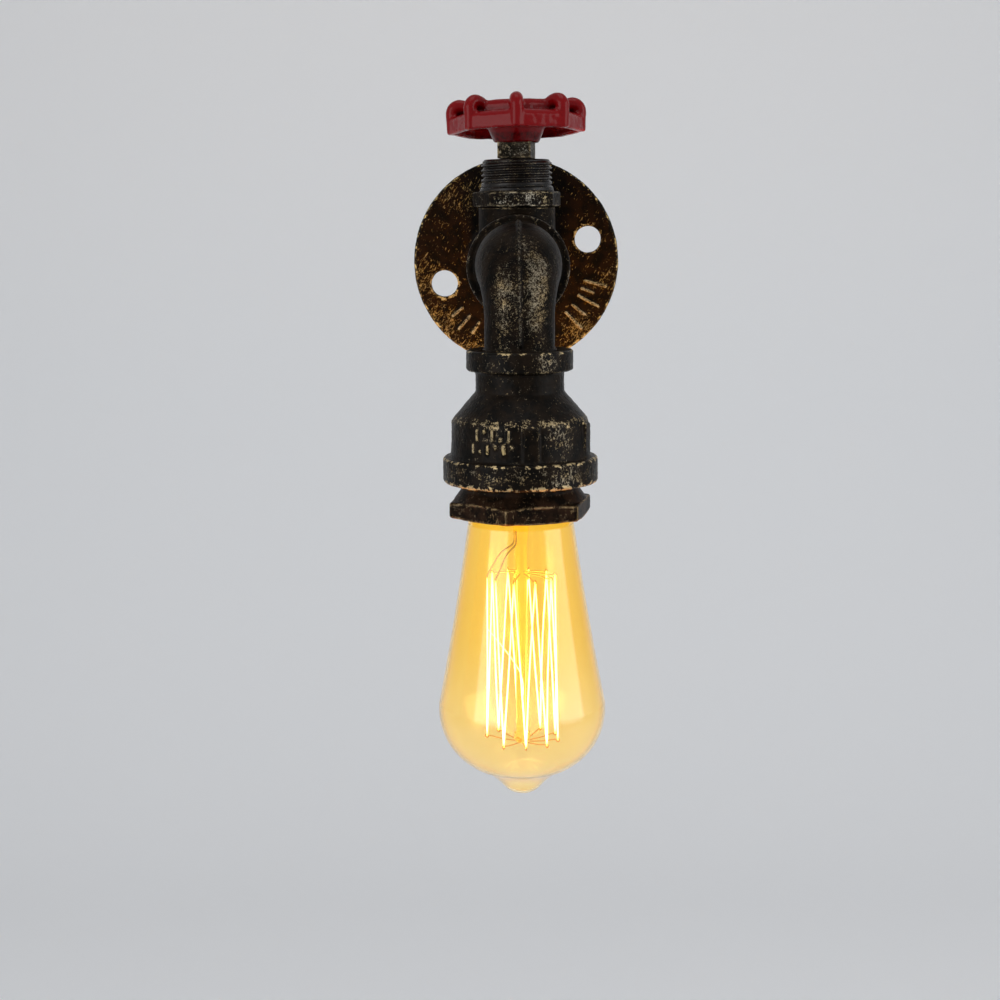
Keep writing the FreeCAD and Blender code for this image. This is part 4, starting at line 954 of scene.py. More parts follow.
FRAME_FINISHES: dict[str, str] = {
    "wall_flange": "flange_iron",
    "rear_nipple": "black_pipe",
    "tee_body": "tee_iron",
    "front_nipple": "black_pipe",
    "street_elbow": "elbow_iron",
    "bell_reducer": "reducer_iron",
    "hex_bushing": "bush_iron",
    "bonnet": "collar_iron",
    "gland_packing": "packing_fibre",
    "gland_ring": "turned_brass",
    "spindle": "worn_square",
    "spindle_clip": "spring_steel",
    "handwheel": "red_enamel",
    "wheel_washer": "plated_steel",
    "wheel_screw": "plated_steel",
    "switch_cover": "black_phenolic",
    "switch_base": "black_phenolic",
    "switch_rotor": "ivory_phenolic",
    "rotor_bridge": "contact_brass",
    "switch_contacts": "contact_brass",
    "switch_terminals": "contact_brass",
    "switch_terminal_screws": "plated_steel",
    "holder_body": "black_phenolic",
    "holder_gasket": "gasket_rubber",
    "screw_shell": "turned_brass",
    "centre_contact": "contact_brass",
    "holder_terminals": "contact_brass",
    "holder_terminal_screws": "plated_steel",
    "supply_wire": "brown_insulation",
    "switched_wire": "brown_insulation",
    "neutral_wire": "blue_insulation",
    "bulb_glass": "amber_glass",
    "bulb_cap": "turned_brass",
    "cap_insulator": "black_glass",
    "cap_contact": "solder_tin",
    "bulb_stem": "clear_glass",
    "filament": "glowing_filament",
    "upper_hooks": "hook_wire",
    "lower_hooks": "hook_wire",
    "lead_wires": "lead_wire",
}


class Paintbox:
    """Every finish of the lamp by name."""

    def __init__(self) -> None:
        """Mixes the finishes."""
        effects = Effects()
        self.jars = {finish.name: finish.build(effects) for finish in FINISHES}

    def dress(self, piece: Piece, name: str) -> None:
        """Gives a piece one finish all over.

        Args:
            piece: the object.
            name: the finish.
        """
        piece.data.materials.clear()
        piece.data.materials.append(self.jars[name])
        LOG.info("dressed %s in %s", piece.name, name)

    def dress_part(self, piece: Piece, name: str, inside: Callable[[Vector], bool]) -> None:
        """Gives the faces of a piece that pass a test a second finish.

        Args:
            piece: the object, with its first finish.
            name: the second finish.
            inside: the test, on a face's middle.
        """
        chosen = [face for face in piece.data.polygons if inside(face.center)]
        if chosen:
            piece.data.materials.append(self.jars[name])
            for face in chosen:
                face.material_index = 1


class Shop:
    """Mesh work by hand: each tool works on one piece, which it selects alone."""

    def pick(self, piece: Piece) -> None:
        """Selects one object and makes it active.

        Args:
            piece: the object.
        """
        bpy.ops.object.select_all(action="DESELECT")
        piece.select_set(True)
        bpy.context.view_layer.objects.active = piece

    def start(self, add: Callable[..., set[str]], **sizes: object) -> Piece:
        """Adds a primitive while nothing else is selected.

        Args:
            add: the operator that adds it.
            sizes: what the operator is told.

        Returns:
            The new object.
        """
        bpy.ops.object.select_all(action="DESELECT")
        add(**sizes)
        return bpy.context.object

    @contextmanager
    def editing(self, piece: Piece) -> Iterator[None]:
        """Opens a piece in edit mode with all of it selected, and closes it again.

        Args:
            piece: the object.
        """
        self.pick(piece)
        bpy.ops.object.mode_set(mode="EDIT")
        bpy.ops.mesh.select_all(action="SELECT")
        yield
        bpy.ops.object.mode_set(mode="OBJECT")

    def keep(self, piece: Piece, kind: str, **settings: object) -> None:
        """Gives a piece a modifier and applies it.

        Args:
            piece: the object.
            kind: the modifier's Blender type.
            settings: attributes to set on it.
        """
        modifier = piece.modifiers.new(kind.lower(), kind)
        for name, value in settings.items():
            setattr(modifier, name, value)
        self.pick(piece)
        bpy.ops.object.modifier_apply(modifier=modifier.name)

    def settle(self, piece: Piece) -> None:
        """Puts a piece's place, turn and scale into its mesh.

        Args:
            piece: the object.
        """
        self.pick(piece)
        bpy.ops.object.transform_apply(location=True, rotation=True, scale=True)

    def copy_of(self, node: Piece, name: str) -> Piece:
        """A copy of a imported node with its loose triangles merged.

        Args:
            node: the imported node.
            name: the copy's name.

        Returns:
            The copy.
        """
        piece = new_object(name, node.data.copy())
        self.pick(piece)
        bpy.ops.mesh.customdata_custom_splitnormals_clear()
        with self.editing(piece):
            bpy.ops.mesh.remove_doubles(threshold=WELD)
        return piece

    def join(self, piece: Piece, others: list[Piece]) -> None:
        """Joins other pieces into one.

        Args:
            piece: the piece that stays.
            others: the pieces that go into it.
        """
        if not others:
            return
        self.pick(piece)
        for other in others:
            other.select_set(True)
        bpy.ops.object.join()

    def merge(self, piece: Piece, other: Piece, how: Merge) -> None:
        """Unites a closed piece with another, or cuts it with the other.

        Args:
            piece: the piece that stays.
            other: the closed piece that is used up.
            how: whether the other is added or taken away.
        """
        self.keep(piece, "BOOLEAN", operation=how.value, solver="EXACT", object=other)
        bpy.data.objects.remove(other)

    def face_outwards(self, piece: Piece) -> None:
        """Points all faces of a closed piece outwards.

        Args:
            piece: the object.
        """
        with self.editing(piece):
            bpy.ops.mesh.normals_make_consistent(inside=False)

    def outline(self, name: str, points: list[Pair]) -> Piece:
        """A closed flat outline in the plane Y = 0, for the Screw modifier.

        Args:
            name: the object's name.
            points: distance from the axis and height of each point.

        Returns:
            The outline.
        """
        piece = self.start(bpy.ops.mesh.primitive_circle_add, vertices=len(points), radius=1.0,
                           fill_type="NOTHING")
        piece.name = name
        for corner, (out, up) in zip(piece.data.vertices, points):
            corner.co = (out, 0.0, up)
        return piece

    def turned(self, name: str, points: list[Pair], axis: Vector) -> Piece:
        """A ring turned from a closed section round an upright axis.

        Args:
            name: the ring's name.
            points: distance from the axis and height of each corner of its section.
            axis: the axis' point at height 0.

        Returns:
            The ring, closed and facing outwards.
        """
        ring = self.outline(name, points)
        self.keep(ring, "SCREW", axis="Z", steps=ROUND_STEPS, use_merge_vertices=True, merge_threshold=WELD)
        ring.location = axis
        self.settle(ring)
        self.face_outwards(ring)
        return ring

    def prism(self, sides: int, radius: float, depth: float, middle: Vector, turn: float = 0.0) -> Piece:
        """An upright prism or, with many sides, a cylinder.

        Args:
            sides: its number of sides.
            radius: from its axis to a corner.
            depth: its height.
            middle: its middle.
            turn: its turn about its axis in degrees.

        Returns:
            The prism.
        """
        piece = self.start(bpy.ops.mesh.primitive_cylinder_add, vertices=sides, radius=radius, depth=depth)
        piece.location = middle
        piece.rotation_euler = (0, 0, math.radians(turn))
        self.settle(piece)
        return piece

    def fuse(self, piece: Piece, voxel: float, relax: int) -> None:
        """Makes one even skin of all shells of a piece and softens its edges.

        Args:
            piece: the object.
            voxel: edge of the new faces.
            relax: passes of smoothing.
        """
        self.keep(piece, "REMESH", mode="VOXEL", voxel_size=voxel, adaptivity=0.0, use_smooth_shade=True)
        self.keep(piece, "SMOOTH", factor=0.5, iterations=relax)

    def flow(self, piece: Piece, voxel: float, reach: float, keep_back: float) -> None:
        """Fills the inner corners of a piece as thick enamel does: swells it, makes one skin, shrinks it back.

        Args:
            piece: the object.
            voxel: edge of the new faces.
            reach: how far it swells.
            keep_back: how much of that stays.
        """
        self.keep(piece, "DISPLACE", strength=reach, mid_level=0.0)
        self.fuse(piece, voxel, relax=4)
        self.keep(piece, "DISPLACE", strength=keep_back - reach, mid_level=0.0)

    def roughen(self, piece: Piece, grain: Grain, cell: float, depth: float, group: str = "",
                level: float = 0.9) -> None:
        """Gives a dense skin real unevenness.

        Args:
            piece: the object.
            grain: the look of the unevenness.
            cell: size of its lumps.
            depth: height between its lows and highs.
            group: vertex group that it is limited to.
            level: share of the depth that lies below the surface.
        """
        texture = bpy.data.textures.new(f"{piece.name}_{grain.name.lower()}", "CLOUDS")
        texture.noise_scale = cell
        texture.noise_depth = 1
        texture.noise_type = grain.value
        self.keep(piece, "DISPLACE", texture=texture, texture_coords="LOCAL", direction="NORMAL", strength=depth,
                  mid_level=level, vertex_group=group)

    def wire(self, name: str, runs: list[list[Vector]], radius: float) -> Piece:
        """Round wire along smooth curves, made a mesh.

        Args:
            name: the piece's name.
            runs: the points of each wire.
            radius: the wire's radius.

        Returns:
            The piece.
        """
        data = bpy.data.curves.new(name, "CURVE")
        data.dimensions = "3D"
        data.bevel_depth = radius
        data.bevel_resolution = 2
        data.resolution_u = 4
        data.use_fill_caps = True
        for run in runs:
            spline = data.splines.new("NURBS")
            spline.points.add(len(run) - 1)
            for knot, spot in zip(spline.points, run):
                knot.co = (*spot, 1.0)
            spline.order_u = 3
            spline.use_endpoint_u = True
        self.pick(new_object(name, data))
        bpy.ops.object.convert(target="MESH")
        bpy.ops.object.shade_smooth()
        return bpy.context.object

    def hand_over(self, piece: Piece, body: Body, slot: str, *nodes: str) -> None:
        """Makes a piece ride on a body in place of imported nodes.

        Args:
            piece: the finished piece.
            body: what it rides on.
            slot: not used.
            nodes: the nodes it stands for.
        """
        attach(piece, body.value)
        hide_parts(*nodes)
        LOG.info("%s: %d faces, rides on %s", piece.name, len(piece.data.polygons), body.value)


@dataclass(frozen=True)
class Thread:
    """A right-handed V thread on an upright axis."""

    axis: Vector
    crest: float
    pitch: float
    foot: float
    turns: float
    depth: float
    root: float = 0.24 * MM
    flank: float = 27.5
    over: float = 0.15 * MM
    steps: int = 72
    run_out: float = 4.6 * MM

    def cutter(self, shop: Shop) -> Piece:
        """The closed groove that cuts the thread, lifted out of the metal where it starts.

        Args:
            shop: the mesh tools.

        Returns:
            The groove.
        """
        slope = math.tan(math.radians(self.flank))
        half_root = 0.5 * self.root
        half_mouth = half_root + (self.depth + self.over) * slope
        inner = self.crest - self.depth
        outer = self.crest + self.over
        section = [(inner, -half_root), (outer, -half_mouth), (outer, half_mouth), (inner, half_root)]
        groove = shop.outline("groove", section)
        shop.keep(groove, "SCREW", axis="Z", angle=self.turns * 2 * math.pi, screw_offset=self.turns * self.pitch,
                  steps=round(self.steps * self.turns), iterations=1, use_merge_vertices=False)
        groove.location = self.axis + Vector((0, 0, self.foot))
        shop.settle(groove)
        for corner in groove.data.vertices:
            share = min(max((corner.co.z - self.axis.z - self.foot) / self.run_out, 0.0), 1.0)
            side = Vector((corner.co.x - self.axis.x, corner.co.y - self.axis.y, 0.0)).normalized()
            corner.co += side * self.depth * (1.0 - share)
        with shop.editing(groove):
            bpy.ops.mesh.fill_holes(sides=len(section))
        shop.face_outwards(groove)
        return groove


@dataclass(frozen=True)
class RolledThread:
    """A round thread rolled into thin sheet, right-handed, on the lamp's axis."""

    depth: float
    foot: float
    top: float
    pitch: float = 3.629 * MM
    fade: float = 2.0 * MM

    def press(self, piece: Piece) -> None:
        """Presses the thread into a turned piece, inwards from its crest.

        Args:
            piece: the piece, with rings of corners close enough to hold the wave.
        """
        for corner in piece.data.vertices:
            side = Vector((corner.co.x, corner.co.y - LAMP_Y, 0.0))
            turns = corner.co.z / self.pitch - math.atan2(side.y, side.x) / math.tau
            end_gap = min(corner.co.z - self.foot, self.top - corner.co.z)
            share = min(max(end_gap / self.fade, 0.0), 1.0)
            corner.co -= side.normalized() * (0.5 * self.depth * share * (1.0 - math.cos(math.tau * turns)))


@dataclass(frozen=True)
class Bar:
    """A short raised bar of casting metal."""

    start: Vector
    end: Vector
    out: Vector
    wide: float = 1.1 * MM
    tall: float = 1.6 * MM
    proud: float = 0.7 * MM
    rounding: float = 0.3 * MM

    def build(self, shop: Shop) -> Piece:
        """Builds the bar.

        Args:
            shop: the mesh tools.

        Returns:
            The bar, sunk into the surface it stands on.
        """
        bar = shop.start(bpy.ops.mesh.primitive_cube_add, size=1.0)
        along = (self.end - self.start).normalized()
        out = self.out.normalized()
        across = out.cross(along).normalized()
        long = (self.end - self.start).length + self.wide
        middle = 0.5 * (self.start + self.end) + out * (self.proud - 0.5 * self.tall)
        turn = Matrix((along * long, across * self.wide, out * self.tall)).transposed().to_4x4()
        bar.matrix_world = Matrix.Translation(middle) @ turn
        shop.settle(bar)
        shop.keep(bar, "BEVEL", width=self.rounding, segments=2, limit_method="NONE")
        return bar


@dataclass(frozen=True)
class Skin:
    """The rough skin of a casting: edge of its faces, passes of smoothing, roughness and size of its lumps."""

    voxel: float
    relax: int
    depth: float
    swell: float = 5.0 * MM
    grit: float = 0.9 * MM
    swell_share: float = 1.2


@dataclass
class PipeRun:
    """The fixed castings: flange, tee, elbow, reducer and bushing, each a rough skin over its solid."""

    nodes: Nodes
    shop: Shop
    paint: Paintbox
    flange_face: float = -5.0 * MM
    flange_mark_radii: Pair = (28.5 * MM, 37.2 * MM)
    flange_bars: tuple[Pair, ...] = ((-16.0, 1.0), (-22.5, 0.55), (-29.0, 1.0), (-38.0, 0.7), (-46.0, 1.0),
                                     (-122.0, 0.55), (-131.0, 0.8), (-140.0, 0.55))
    flange_bar_edge: float = 1.5 * MM
    reducer_mark_r: float = 24.35 * MM
    reducer_mark_x: Pair = (-19.0 * MM, -1.2 * MM)
    reducer_mark_z: Pair = (-61.5 * MM, -52.5 * MM)
    reducer_bars: tuple[Triple, ...] = (
        (-42, -61.0, -58.5), (-35, -60.9, -60.4), (-28, -61.0, -58.5), (-21, -59.0, -58.5), (-14, -61.0, -58.5),
        (-8, -59.0, -58.5), (-38, -56.6, -53.4), (-31, -54.0, -53.4), (-24, -56.6, -53.4), (-17, -56.6, -56.0),
        (-10, -56.6, -53.4))
    reducer_cone: tuple[Pair, ...] = ((13.5, -51.4), (23.8, -51.4), (15.7, -41.9), (13.5, -41.9))
    elbow_bend: float = 16.5 * MM
    seam_r: float = 0.5 * MM
    seam_steps: int = 16
    seam_from: float = -6.0
    seam_sweep: float = 96.0
    seam_drops: Triple = (3.0, 6.0, 9.0)
    ray_length: float = 0.08
    bush_cone: tuple[Pair, ...] = ((20.0, -80.0), (23.7, -80.0), (21.0, -76.4), (20.0, -76.4))
    bush_turn: float = -11.8
    bush_corner_r: float = 26.1 * MM
    bush_bore_r: float = 19.8 * MM
    bush_head: Pair = (-85.7 * MM, -79.7 * MM)

    def casting(self, node: str, name: str, skin: Skin, extras: list[Piece],
                proud: Callable[[Vector], bool] = lambda spot: False) -> None:
        """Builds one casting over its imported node.

        Args:
            node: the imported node.
            name: the piece's name.
            skin: its skin.
            extras: marks and shoulders that are cast on.
            proud: whether a place is on a raised mark, which is rubbed pale.
        """
        piece = self.shop.copy_of(self.nodes[node], name)
        self.shop.join(piece, extras)
        self.shop.fuse(piece, skin.voxel, skin.relax)
        self.shop.roughen(piece, Grain.SOFT, skin.swell, skin.swell_share * skin.depth)
        self.shop.roughen(piece, Grain.HARD, skin.grit, skin.depth)
        self.paint.dress(piece, FRAME_FINISHES[node])
        self.paint.dress_part(piece, "rubbed_iron", proud)
        self.shop.hand_over(piece, Body.FITTINGS, "aged_iron", node)

    def on_flange_mark(self, spot: Vector) -> bool:
        """Whether a place stands proud of the flange's face, away from its hub.

        Args:
            spot: the place.

        Returns:
            True on a raised mark.
        """
        inner, outer = self.flange_mark_radii
        reach = math.hypot(spot.x, spot.z)
        beside_hub = inner - self.flange_bar_edge < reach < outer + self.flange_bar_edge
        return spot.y < self.flange_face - 0.2 * MM and beside_hub

    def on_reducer_mark(self, spot: Vector) -> bool:
        """Whether a place stands proud of the reducer's belly, left of its front rib.

        Args:
            spot: the place.

        Returns:
            True on a raised mark.
        """
        left, right = self.reducer_mark_x
        low, high = self.reducer_mark_z
        inside = left < spot.x < right and spot.y < LAMP_Y and low < spot.z < high
        return inside and math.hypot(spot.x, spot.y - LAMP_Y) > self.reducer_mark_r + 0.15 * MM

    def flange_marks(self) -> list[Piece]:
        """Plain raised bars where a casting mark sits, low on both sides of the flange's face.

        Returns:
            The bars.
        """
        inner, outer = self.flange_mark_radii
        bars = []
        for turn, reach in self.flange_bars:
            angle = math.radians(turn)
            ray = Vector((math.cos(angle), 0, math.sin(angle)))
            foot = Vector((0, self.flange_face, 0)) + ray * inner
            head = foot + ray * (outer - inner) * reach
            bars.append(Bar(foot, head, Vector((0, -1, 0))).build(self.shop))
        return bars

    def reducer_marks(self) -> list[Piece]:
        """Two rows of plain raised pips and bars on the reducer's belly.

        Returns:
            The pips and bars.
        """
        bars = []
        for turn, low, high in self.reducer_bars:
            angle = math.radians(turn)
            out = Vector((math.sin(angle), -math.cos(angle), 0))
            base = LAMP_AXIS + out * self.reducer_mark_r
            foot, head = (base + Vector((0, 0, height * MM)) for height in (low, high))
            bars.append(Bar(foot, head, out).build(self.shop))
        return bars

    def cone(self, section: tuple[Pair, ...]) -> Piece:
        """A ring with a sloping side round the lamp's axis, to be cast on.

        Args:
            section: distance from the axis and height of its corners, in millimetres.

        Returns:
            The ring.
        """
        return self.shop.turned("cone", [mm(*corner) for corner in section], LAMP_AXIS)

    def elbow_seam(self) -> Piece:
        """The parting line that the mould left round the outside of the elbow's bend, laid on its surface.

        Returns:
            The line as round wire, half sunk in.
        """
        elbow = self.nodes["street_elbow"]
        heart = Vector((0, LAMP_Y + self.elbow_bend, -self.elbow_bend))
        rays = []
        for step in range(self.seam_steps + 1):
            angle = math.radians(self.seam_from + self.seam_sweep * step / self.seam_steps)
            rays.append((heart, Vector((0, -math.sin(angle), math.cos(angle)))))
        for drop in self.seam_drops:
            rays.append((heart - Vector((0, 0, drop * MM)), Vector((0, -1, 0))))
        hits = [elbow.ray_cast(start + ray * self.ray_length, -ray) for start, ray in rays]
        return self.shop.wire("elbow_seam", [[spot for found, spot, _, _ in hits if found]], self.seam_r)

    def bush_head_plate(self) -> Piece:
        """Fills the corners of the bushing's hexagon, which are sharp on the real one.

        Returns:
            The plate, with a hole round the bushing's own bore.
        """
        low, high = self.bush_head
        middle = Vector((0, LAMP_Y, 0.5 * (low + high)))
        plate = self.shop.prism(6, self.bush_corner_r, high - low, middle, self.bush_turn)
        self.shop.keep(plate, "BEVEL", width=0.5 * MM, segments=2, limit_method="ANGLE")
        plug = self.shop.prism(ROUND_STEPS, self.bush_bore_r, 4.0 * (high - low), middle)
        self.shop.merge(plate, plug, Merge.CUT)
        return plate

    def build(self) -> None:
        """Builds every casting."""
        self.casting("wall_flange", "flange_casting", Skin(voxel=0.40 * MM, relax=1, depth=0.18 * MM),
                     self.flange_marks(), self.on_flange_mark)
        self.casting("tee_body", "tee_casting", Skin(voxel=0.42 * MM, relax=2, depth=0.16 * MM), [])
        self.casting("street_elbow", "elbow_casting", Skin(voxel=0.41 * MM, relax=1, depth=0.16 * MM),
                     [self.elbow_seam()])
        self.casting("bell_reducer", "reducer_casting", Skin(voxel=0.45 * MM, relax=1, depth=0.20 * MM),
                     [*self.reducer_marks(), self.cone(self.reducer_cone)], self.on_reducer_mark)
        self.casting("hex_bushing", "bushing_casting", Skin(voxel=0.34 * MM, relax=1, depth=0.12 * MM),
                     [self.cone(self.bush_cone), self.bush_head_plate()])


@dataclass
class Tap:
    """Bonnet with its threaded neck, spindle with its square, and the enamelled handwheel."""

    nodes: Nodes
    shop: Shop
    paint: Paintbox
    collar_top: float = 27.2 * MM
    foot_ring: tuple[Pair, ...] = ((11, 26.9), (13.9, 26.9), (13.9, 28.6), (13.3, 29.3), (11, 29.3))
    thread: Thread = field(default_factory=lambda: Thread(
        axis=TAP_AXIS, crest=13.3 * MM, pitch=1.814 * MM, foot=27.6 * MM, turns=6.9, depth=1.05 * MM))

    def bonnet(self) -> None:
        """Cuts the neck's thread and gives the collar its cast skin."""
        piece = self.shop.copy_of(self.nodes["bonnet"], "threaded_bonnet")
        ring = self.shop.turned("foot", [mm(*corner) for corner in self.foot_ring], TAP_AXIS)
        self.shop.merge(piece, ring, Merge.ADD)
        self.shop.merge(piece, self.thread.cutter(self.shop), Merge.CUT)
        self.shop.fuse(piece, voxel=0.27 * MM, relax=1)
        cast = piece.vertex_groups.new(name="cast")
        low = [corner.index for corner in piece.data.vertices if corner.co.z < self.collar_top + 0.2 * MM]
        cast.add(low, 1.0, "REPLACE")
        self.shop.roughen(piece, Grain.HARD, cell=0.9 * MM, depth=0.2 * MM, group="cast")
        self.paint.dress(piece, FRAME_FINISHES["bonnet"])
        self.paint.dress_part(piece, "thread_iron", lambda spot: spot.z > self.collar_top + 0.3 * MM)
        self.shop.hand_over(piece, Body.FITTINGS, "aged_iron", "bonnet")

    def spindle(self) -> None:
        """Rounds the corners of the spindle's square."""
        piece = self.shop.copy_of(self.nodes["spindle"], "square_spindle")
        self.shop.fuse(piece, voxel=0.22 * MM, relax=2)
        self.shop.roughen(piece, Grain.HARD, cell=0.8 * MM, depth=0.1 * MM)
        self.paint.dress(piece, FRAME_FINISHES["spindle"])
        self.shop.hand_over(piece, Body.WHEEL, "worn_brass", "spindle")

    def handwheel(self) -> None:
        """Melts the wheel's lobes, spokes and rim into one flowed casting."""
        piece = self.shop.copy_of(self.nodes["handwheel"], "enamelled_wheel")
        self.shop.fuse(piece, voxel=0.32 * MM, relax=1)
        self.shop.flow(piece, voxel=0.34 * MM, reach=1.0 * MM, keep_back=0.4 * MM)
        self.shop.roughen(piece, Grain.SOFT, cell=4.0 * MM, depth=0.3 * MM, level=0.5)
        self.paint.dress(piece, FRAME_FINISHES["handwheel"])
        self.shop.hand_over(piece, Body.WHEEL, "red_enamel", "handwheel")

    def build(self) -> None:
        """Builds the whole tap."""
        self.bonnet()
        self.spindle()
        self.handwheel()


@dataclass
class Bulb:
    """One filament wound down and up between curled hooks, its two leads, the rolled cap and its shell."""

    nodes: Nodes
    shop: Shop
    paint: Paintbox
    hooks: int = 10
    turn: float = 221.0
    top: float = -108.0 * MM
    foot: float = -167.6 * MM
    top_r: float = 12.1 * MM
    foot_r: float = 13.1 * MM
    button_r: float = 2.6 * MM
    hook_rise: float = 1.2 * MM
    hook_r: float = 0.2 * MM
    curl_r: float = 0.65 * MM
    curl_angles: tuple[float, ...] = (215.0, 165.0, 115.0, 65.0, 15.0, -35.0, -85.0)
    curl_lift: float = 0.1 * MM
    arch: float = 0.2
    strand_r: float = 0.27 * MM
    seed: int = 7
    sag: float = 0.5 * MM
    tight: float = 0.04
    press: float = -94.5 * MM
    lead_r: float = 0.3 * MM
    lead_root_r: float = 2.2 * MM
    lead_bends: tuple[Pair, ...] = ((0.02, -96.6), (0.28, -98.0), (0.5, -99.8), (0.68, -102.6), (0.84, -105.6))
    thread_step: float = 0.4
    cap_wall: tuple[Pair, ...] = ((13.2, -76.6), (13.2, -56.1), (9.5, -54.0), (9.0, -54.0), (12.7, -56.6),
                                  (12.7, -75.6), (13.0, -75.6), (13.0, -76.6))
    cap_thread: RolledThread = RolledThread(depth=1.0 * MM, foot=-76.2 * MM, top=-56.4 * MM)
    shell_wall: tuple[Pair, ...] = ((14.4, -74.3), (14.4, -52.4), (11.0, -52.4), (11.0, -53.0), (13.8, -53.0),
                                    (13.8, -74.3))
    shell_thread: RolledThread = RolledThread(depth=0.5 * MM, foot=-74.3 * MM, top=-54.0 * MM)
    sharp_angle: float = 50.0

    def spot(self, at_top: bool, number: int) -> Vector:
        """Where the filament turns round a hook.

        Args:
            at_top: whether the hook is one of the upper ones.
            number: which hook.

        Returns:
            The place.
        """
        shift, radius, height = (0.0, self.top_r, self.top) if at_top else (0.5, self.foot_r, self.foot)
        angle = math.radians(self.turn + 360.0 * (number + shift) / self.hooks)
        return Vector((radius * math.cos(angle), LAMP_Y + radius * math.sin(angle), height))

    def outward(self, spot: Vector) -> Vector:
        """The level direction from the lamp's axis to a place."""
        return Vector((spot.x, spot.y - LAMP_Y, 0)).normalized()

    def finish(self, piece: Piece, finish: str, slot: str, node: str) -> None:
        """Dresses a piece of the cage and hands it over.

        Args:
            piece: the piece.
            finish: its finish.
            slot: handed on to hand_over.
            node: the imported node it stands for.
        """
        self.paint.dress(piece, finish)
        self.shop.hand_over(piece, Body.BULB, slot, node)

    def filament(self) -> None:
        """Winds the filament, each strand a little slack, tight round its hooks, with one strand astray."""
        draw = random.Random(self.seed)
        strands = []
        for number in range(self.hooks - 1):
            foot = self.spot(False, number)
            out = self.outward(foot)
            for head in (self.spot(True, number), self.spot(True, number + 1)):
                side = (head - foot).cross(out).normalized()
                slack = side * draw.uniform(-1, 1) * self.sag + out * draw.uniform(-0.3, 1) * self.sag
                strands.append([head, head.lerp(foot, self.tight), head.lerp(foot, 0.5) + slack,
                                foot.lerp(head, self.tight), foot])
        stray = [self.spot(False, 8).lerp(self.spot(True, 9), 0.68),
                 Vector((-2.2 * MM, LAMP_Y - 9.0 * MM, -137 * MM)),
                 Vector((1.0 * MM, LAMP_Y - 10.0 * MM, -145 * MM)),
                 self.spot(False, 1).lerp(self.spot(True, 1), 0.3)]
        piece = self.shop.wire("wound_filament", strands, self.strand_r)
        self.shop.join(piece, [self.shop.wire("stray", [stray], 0.5 * self.strand_r)])
        self.finish(piece, "glowing_filament", "glowing_filament", "filament")

    def curled_hook(self, tip: Vector, rise: float) -> list[Vector]:
        """Path of a hook: out from its button, then curled once round the filament.

        Args:
            tip: where the filament turns.
            rise: how far the wire stands above the turn.

        Returns:
            The path's points.
        """
        out = self.outward(tip)
        up = Vector((0, 0, 1.0 if rise > 0 else -1.0))
        root = Vector((0, LAMP_Y, tip.z + rise)) + out * self.button_r
        heart = tip + up * self.curl_lift
        path = [root, root.lerp(tip, 0.5) + up * abs(rise) * self.arch]
        for turn in self.curl_angles:
            angle = math.radians(turn)
            path.append(heart + out * (self.curl_r * math.cos(angle)) + up * (self.curl_r * math.sin(angle)))
        return path

    def hook_rings(self) -> None:
        """Bends both rings of hooks."""
        uppers = [self.spot(True, number) for number in range(1, self.hooks - 1)]
        lowers = [self.spot(False, number) for number in range(self.hooks - 1)]
        for name, node, tips, rise in (("upper_curled_hooks", "upper_hooks", uppers, self.hook_rise),
                                       ("lower_curled_hooks", "lower_hooks", lowers, -self.hook_rise)):
            piece = self.shop.wire(name, [self.curled_hook(tip, rise) for tip in tips], self.hook_r)
            self.finish(piece, "hook_wire", "support_wire", node)

    def leads(self) -> None:
        """Bends the two leads from the press to the filament's ends."""
        runs = []
        for number, out_by in ((0, 0.0), (self.hooks - 1, 0.5 * MM)):
            end = self.spot(True, number)
            out = self.outward(end)
            root = Vector((0, LAMP_Y, self.press)) + out * self.lead_root_r
            run = [root + Vector((0, 0, 3.0 * MM)), root]
            for share, height in self.lead_bends:
                spot = root.lerp(end, share)
                run.append(Vector((spot.x, spot.y, height * MM)) + out * out_by)
            runs.append(run + [end + Vector((0, 0, 0.6 * MM)), end + Vector((0, 0, -0.5 * MM))])
        piece = self.shop.wire("bent_leads", runs, self.lead_r)
        self.finish(piece, "lead_wire", "support_wire", "lead_wires")

    def rolled(self, node: str, name: str, body: Body, wall: tuple[Pair, ...], thread: RolledThread) -> None:
        """Rolls a thread into a sheet part.

        Args:
            node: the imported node.
            name: the piece's name.
            body: what it rides on.
            wall: corners of its wall, in millimetres from the axis and in height.
            thread: the thread.
        """
        points = []
        for (out, up), (next_out, next_up) in zip(wall, wall[1:] + wall[:1]):
            steps = max(1, round(abs(next_up - up) / self.thread_step))
            points += [mm(out + (next_out - out) * k / steps, up + (next_up - up) * k / steps)
                       for k in range(steps)]
        piece = self.shop.turned(name, points, LAMP_AXIS)
        thread.press(piece)
        self.shop.pick(piece)
        bpy.ops.object.shade_smooth_by_angle(angle=math.radians(self.sharp_angle))
        self.paint.dress(piece, "turned_brass")
        self.shop.hand_over(piece, body, "turned_brass", node)

    def build(self) -> None:
        """Builds the cage, the cap and the shell that the cap screws into."""
        self.filament()
        self.hook_rings()
        self.leads()
        self.rolled("bulb_cap", "threaded_cap", Body.BULB, self.cap_wall, self.cap_thread)
        self.rolled("screw_shell", "threaded_shell", Body.FITTINGS, self.shell_wall, self.shell_thread)


def seen_rays(bench: Bench) -> Socket:
    """1 where the background is seen, straight or in metal or through glass, and 0 where it lights things.

    Args:
        bench: the bench of the shader that asks.

    Returns:
        The mask's socket.
    """
    way = bench.add("ShaderNodeLightPath")
    seen = bench.most(way.outputs["Is Camera Ray"], way.outputs["Is Transmission Ray"])
    return bench.most(seen, way.outputs["Is Glossy Ray"])


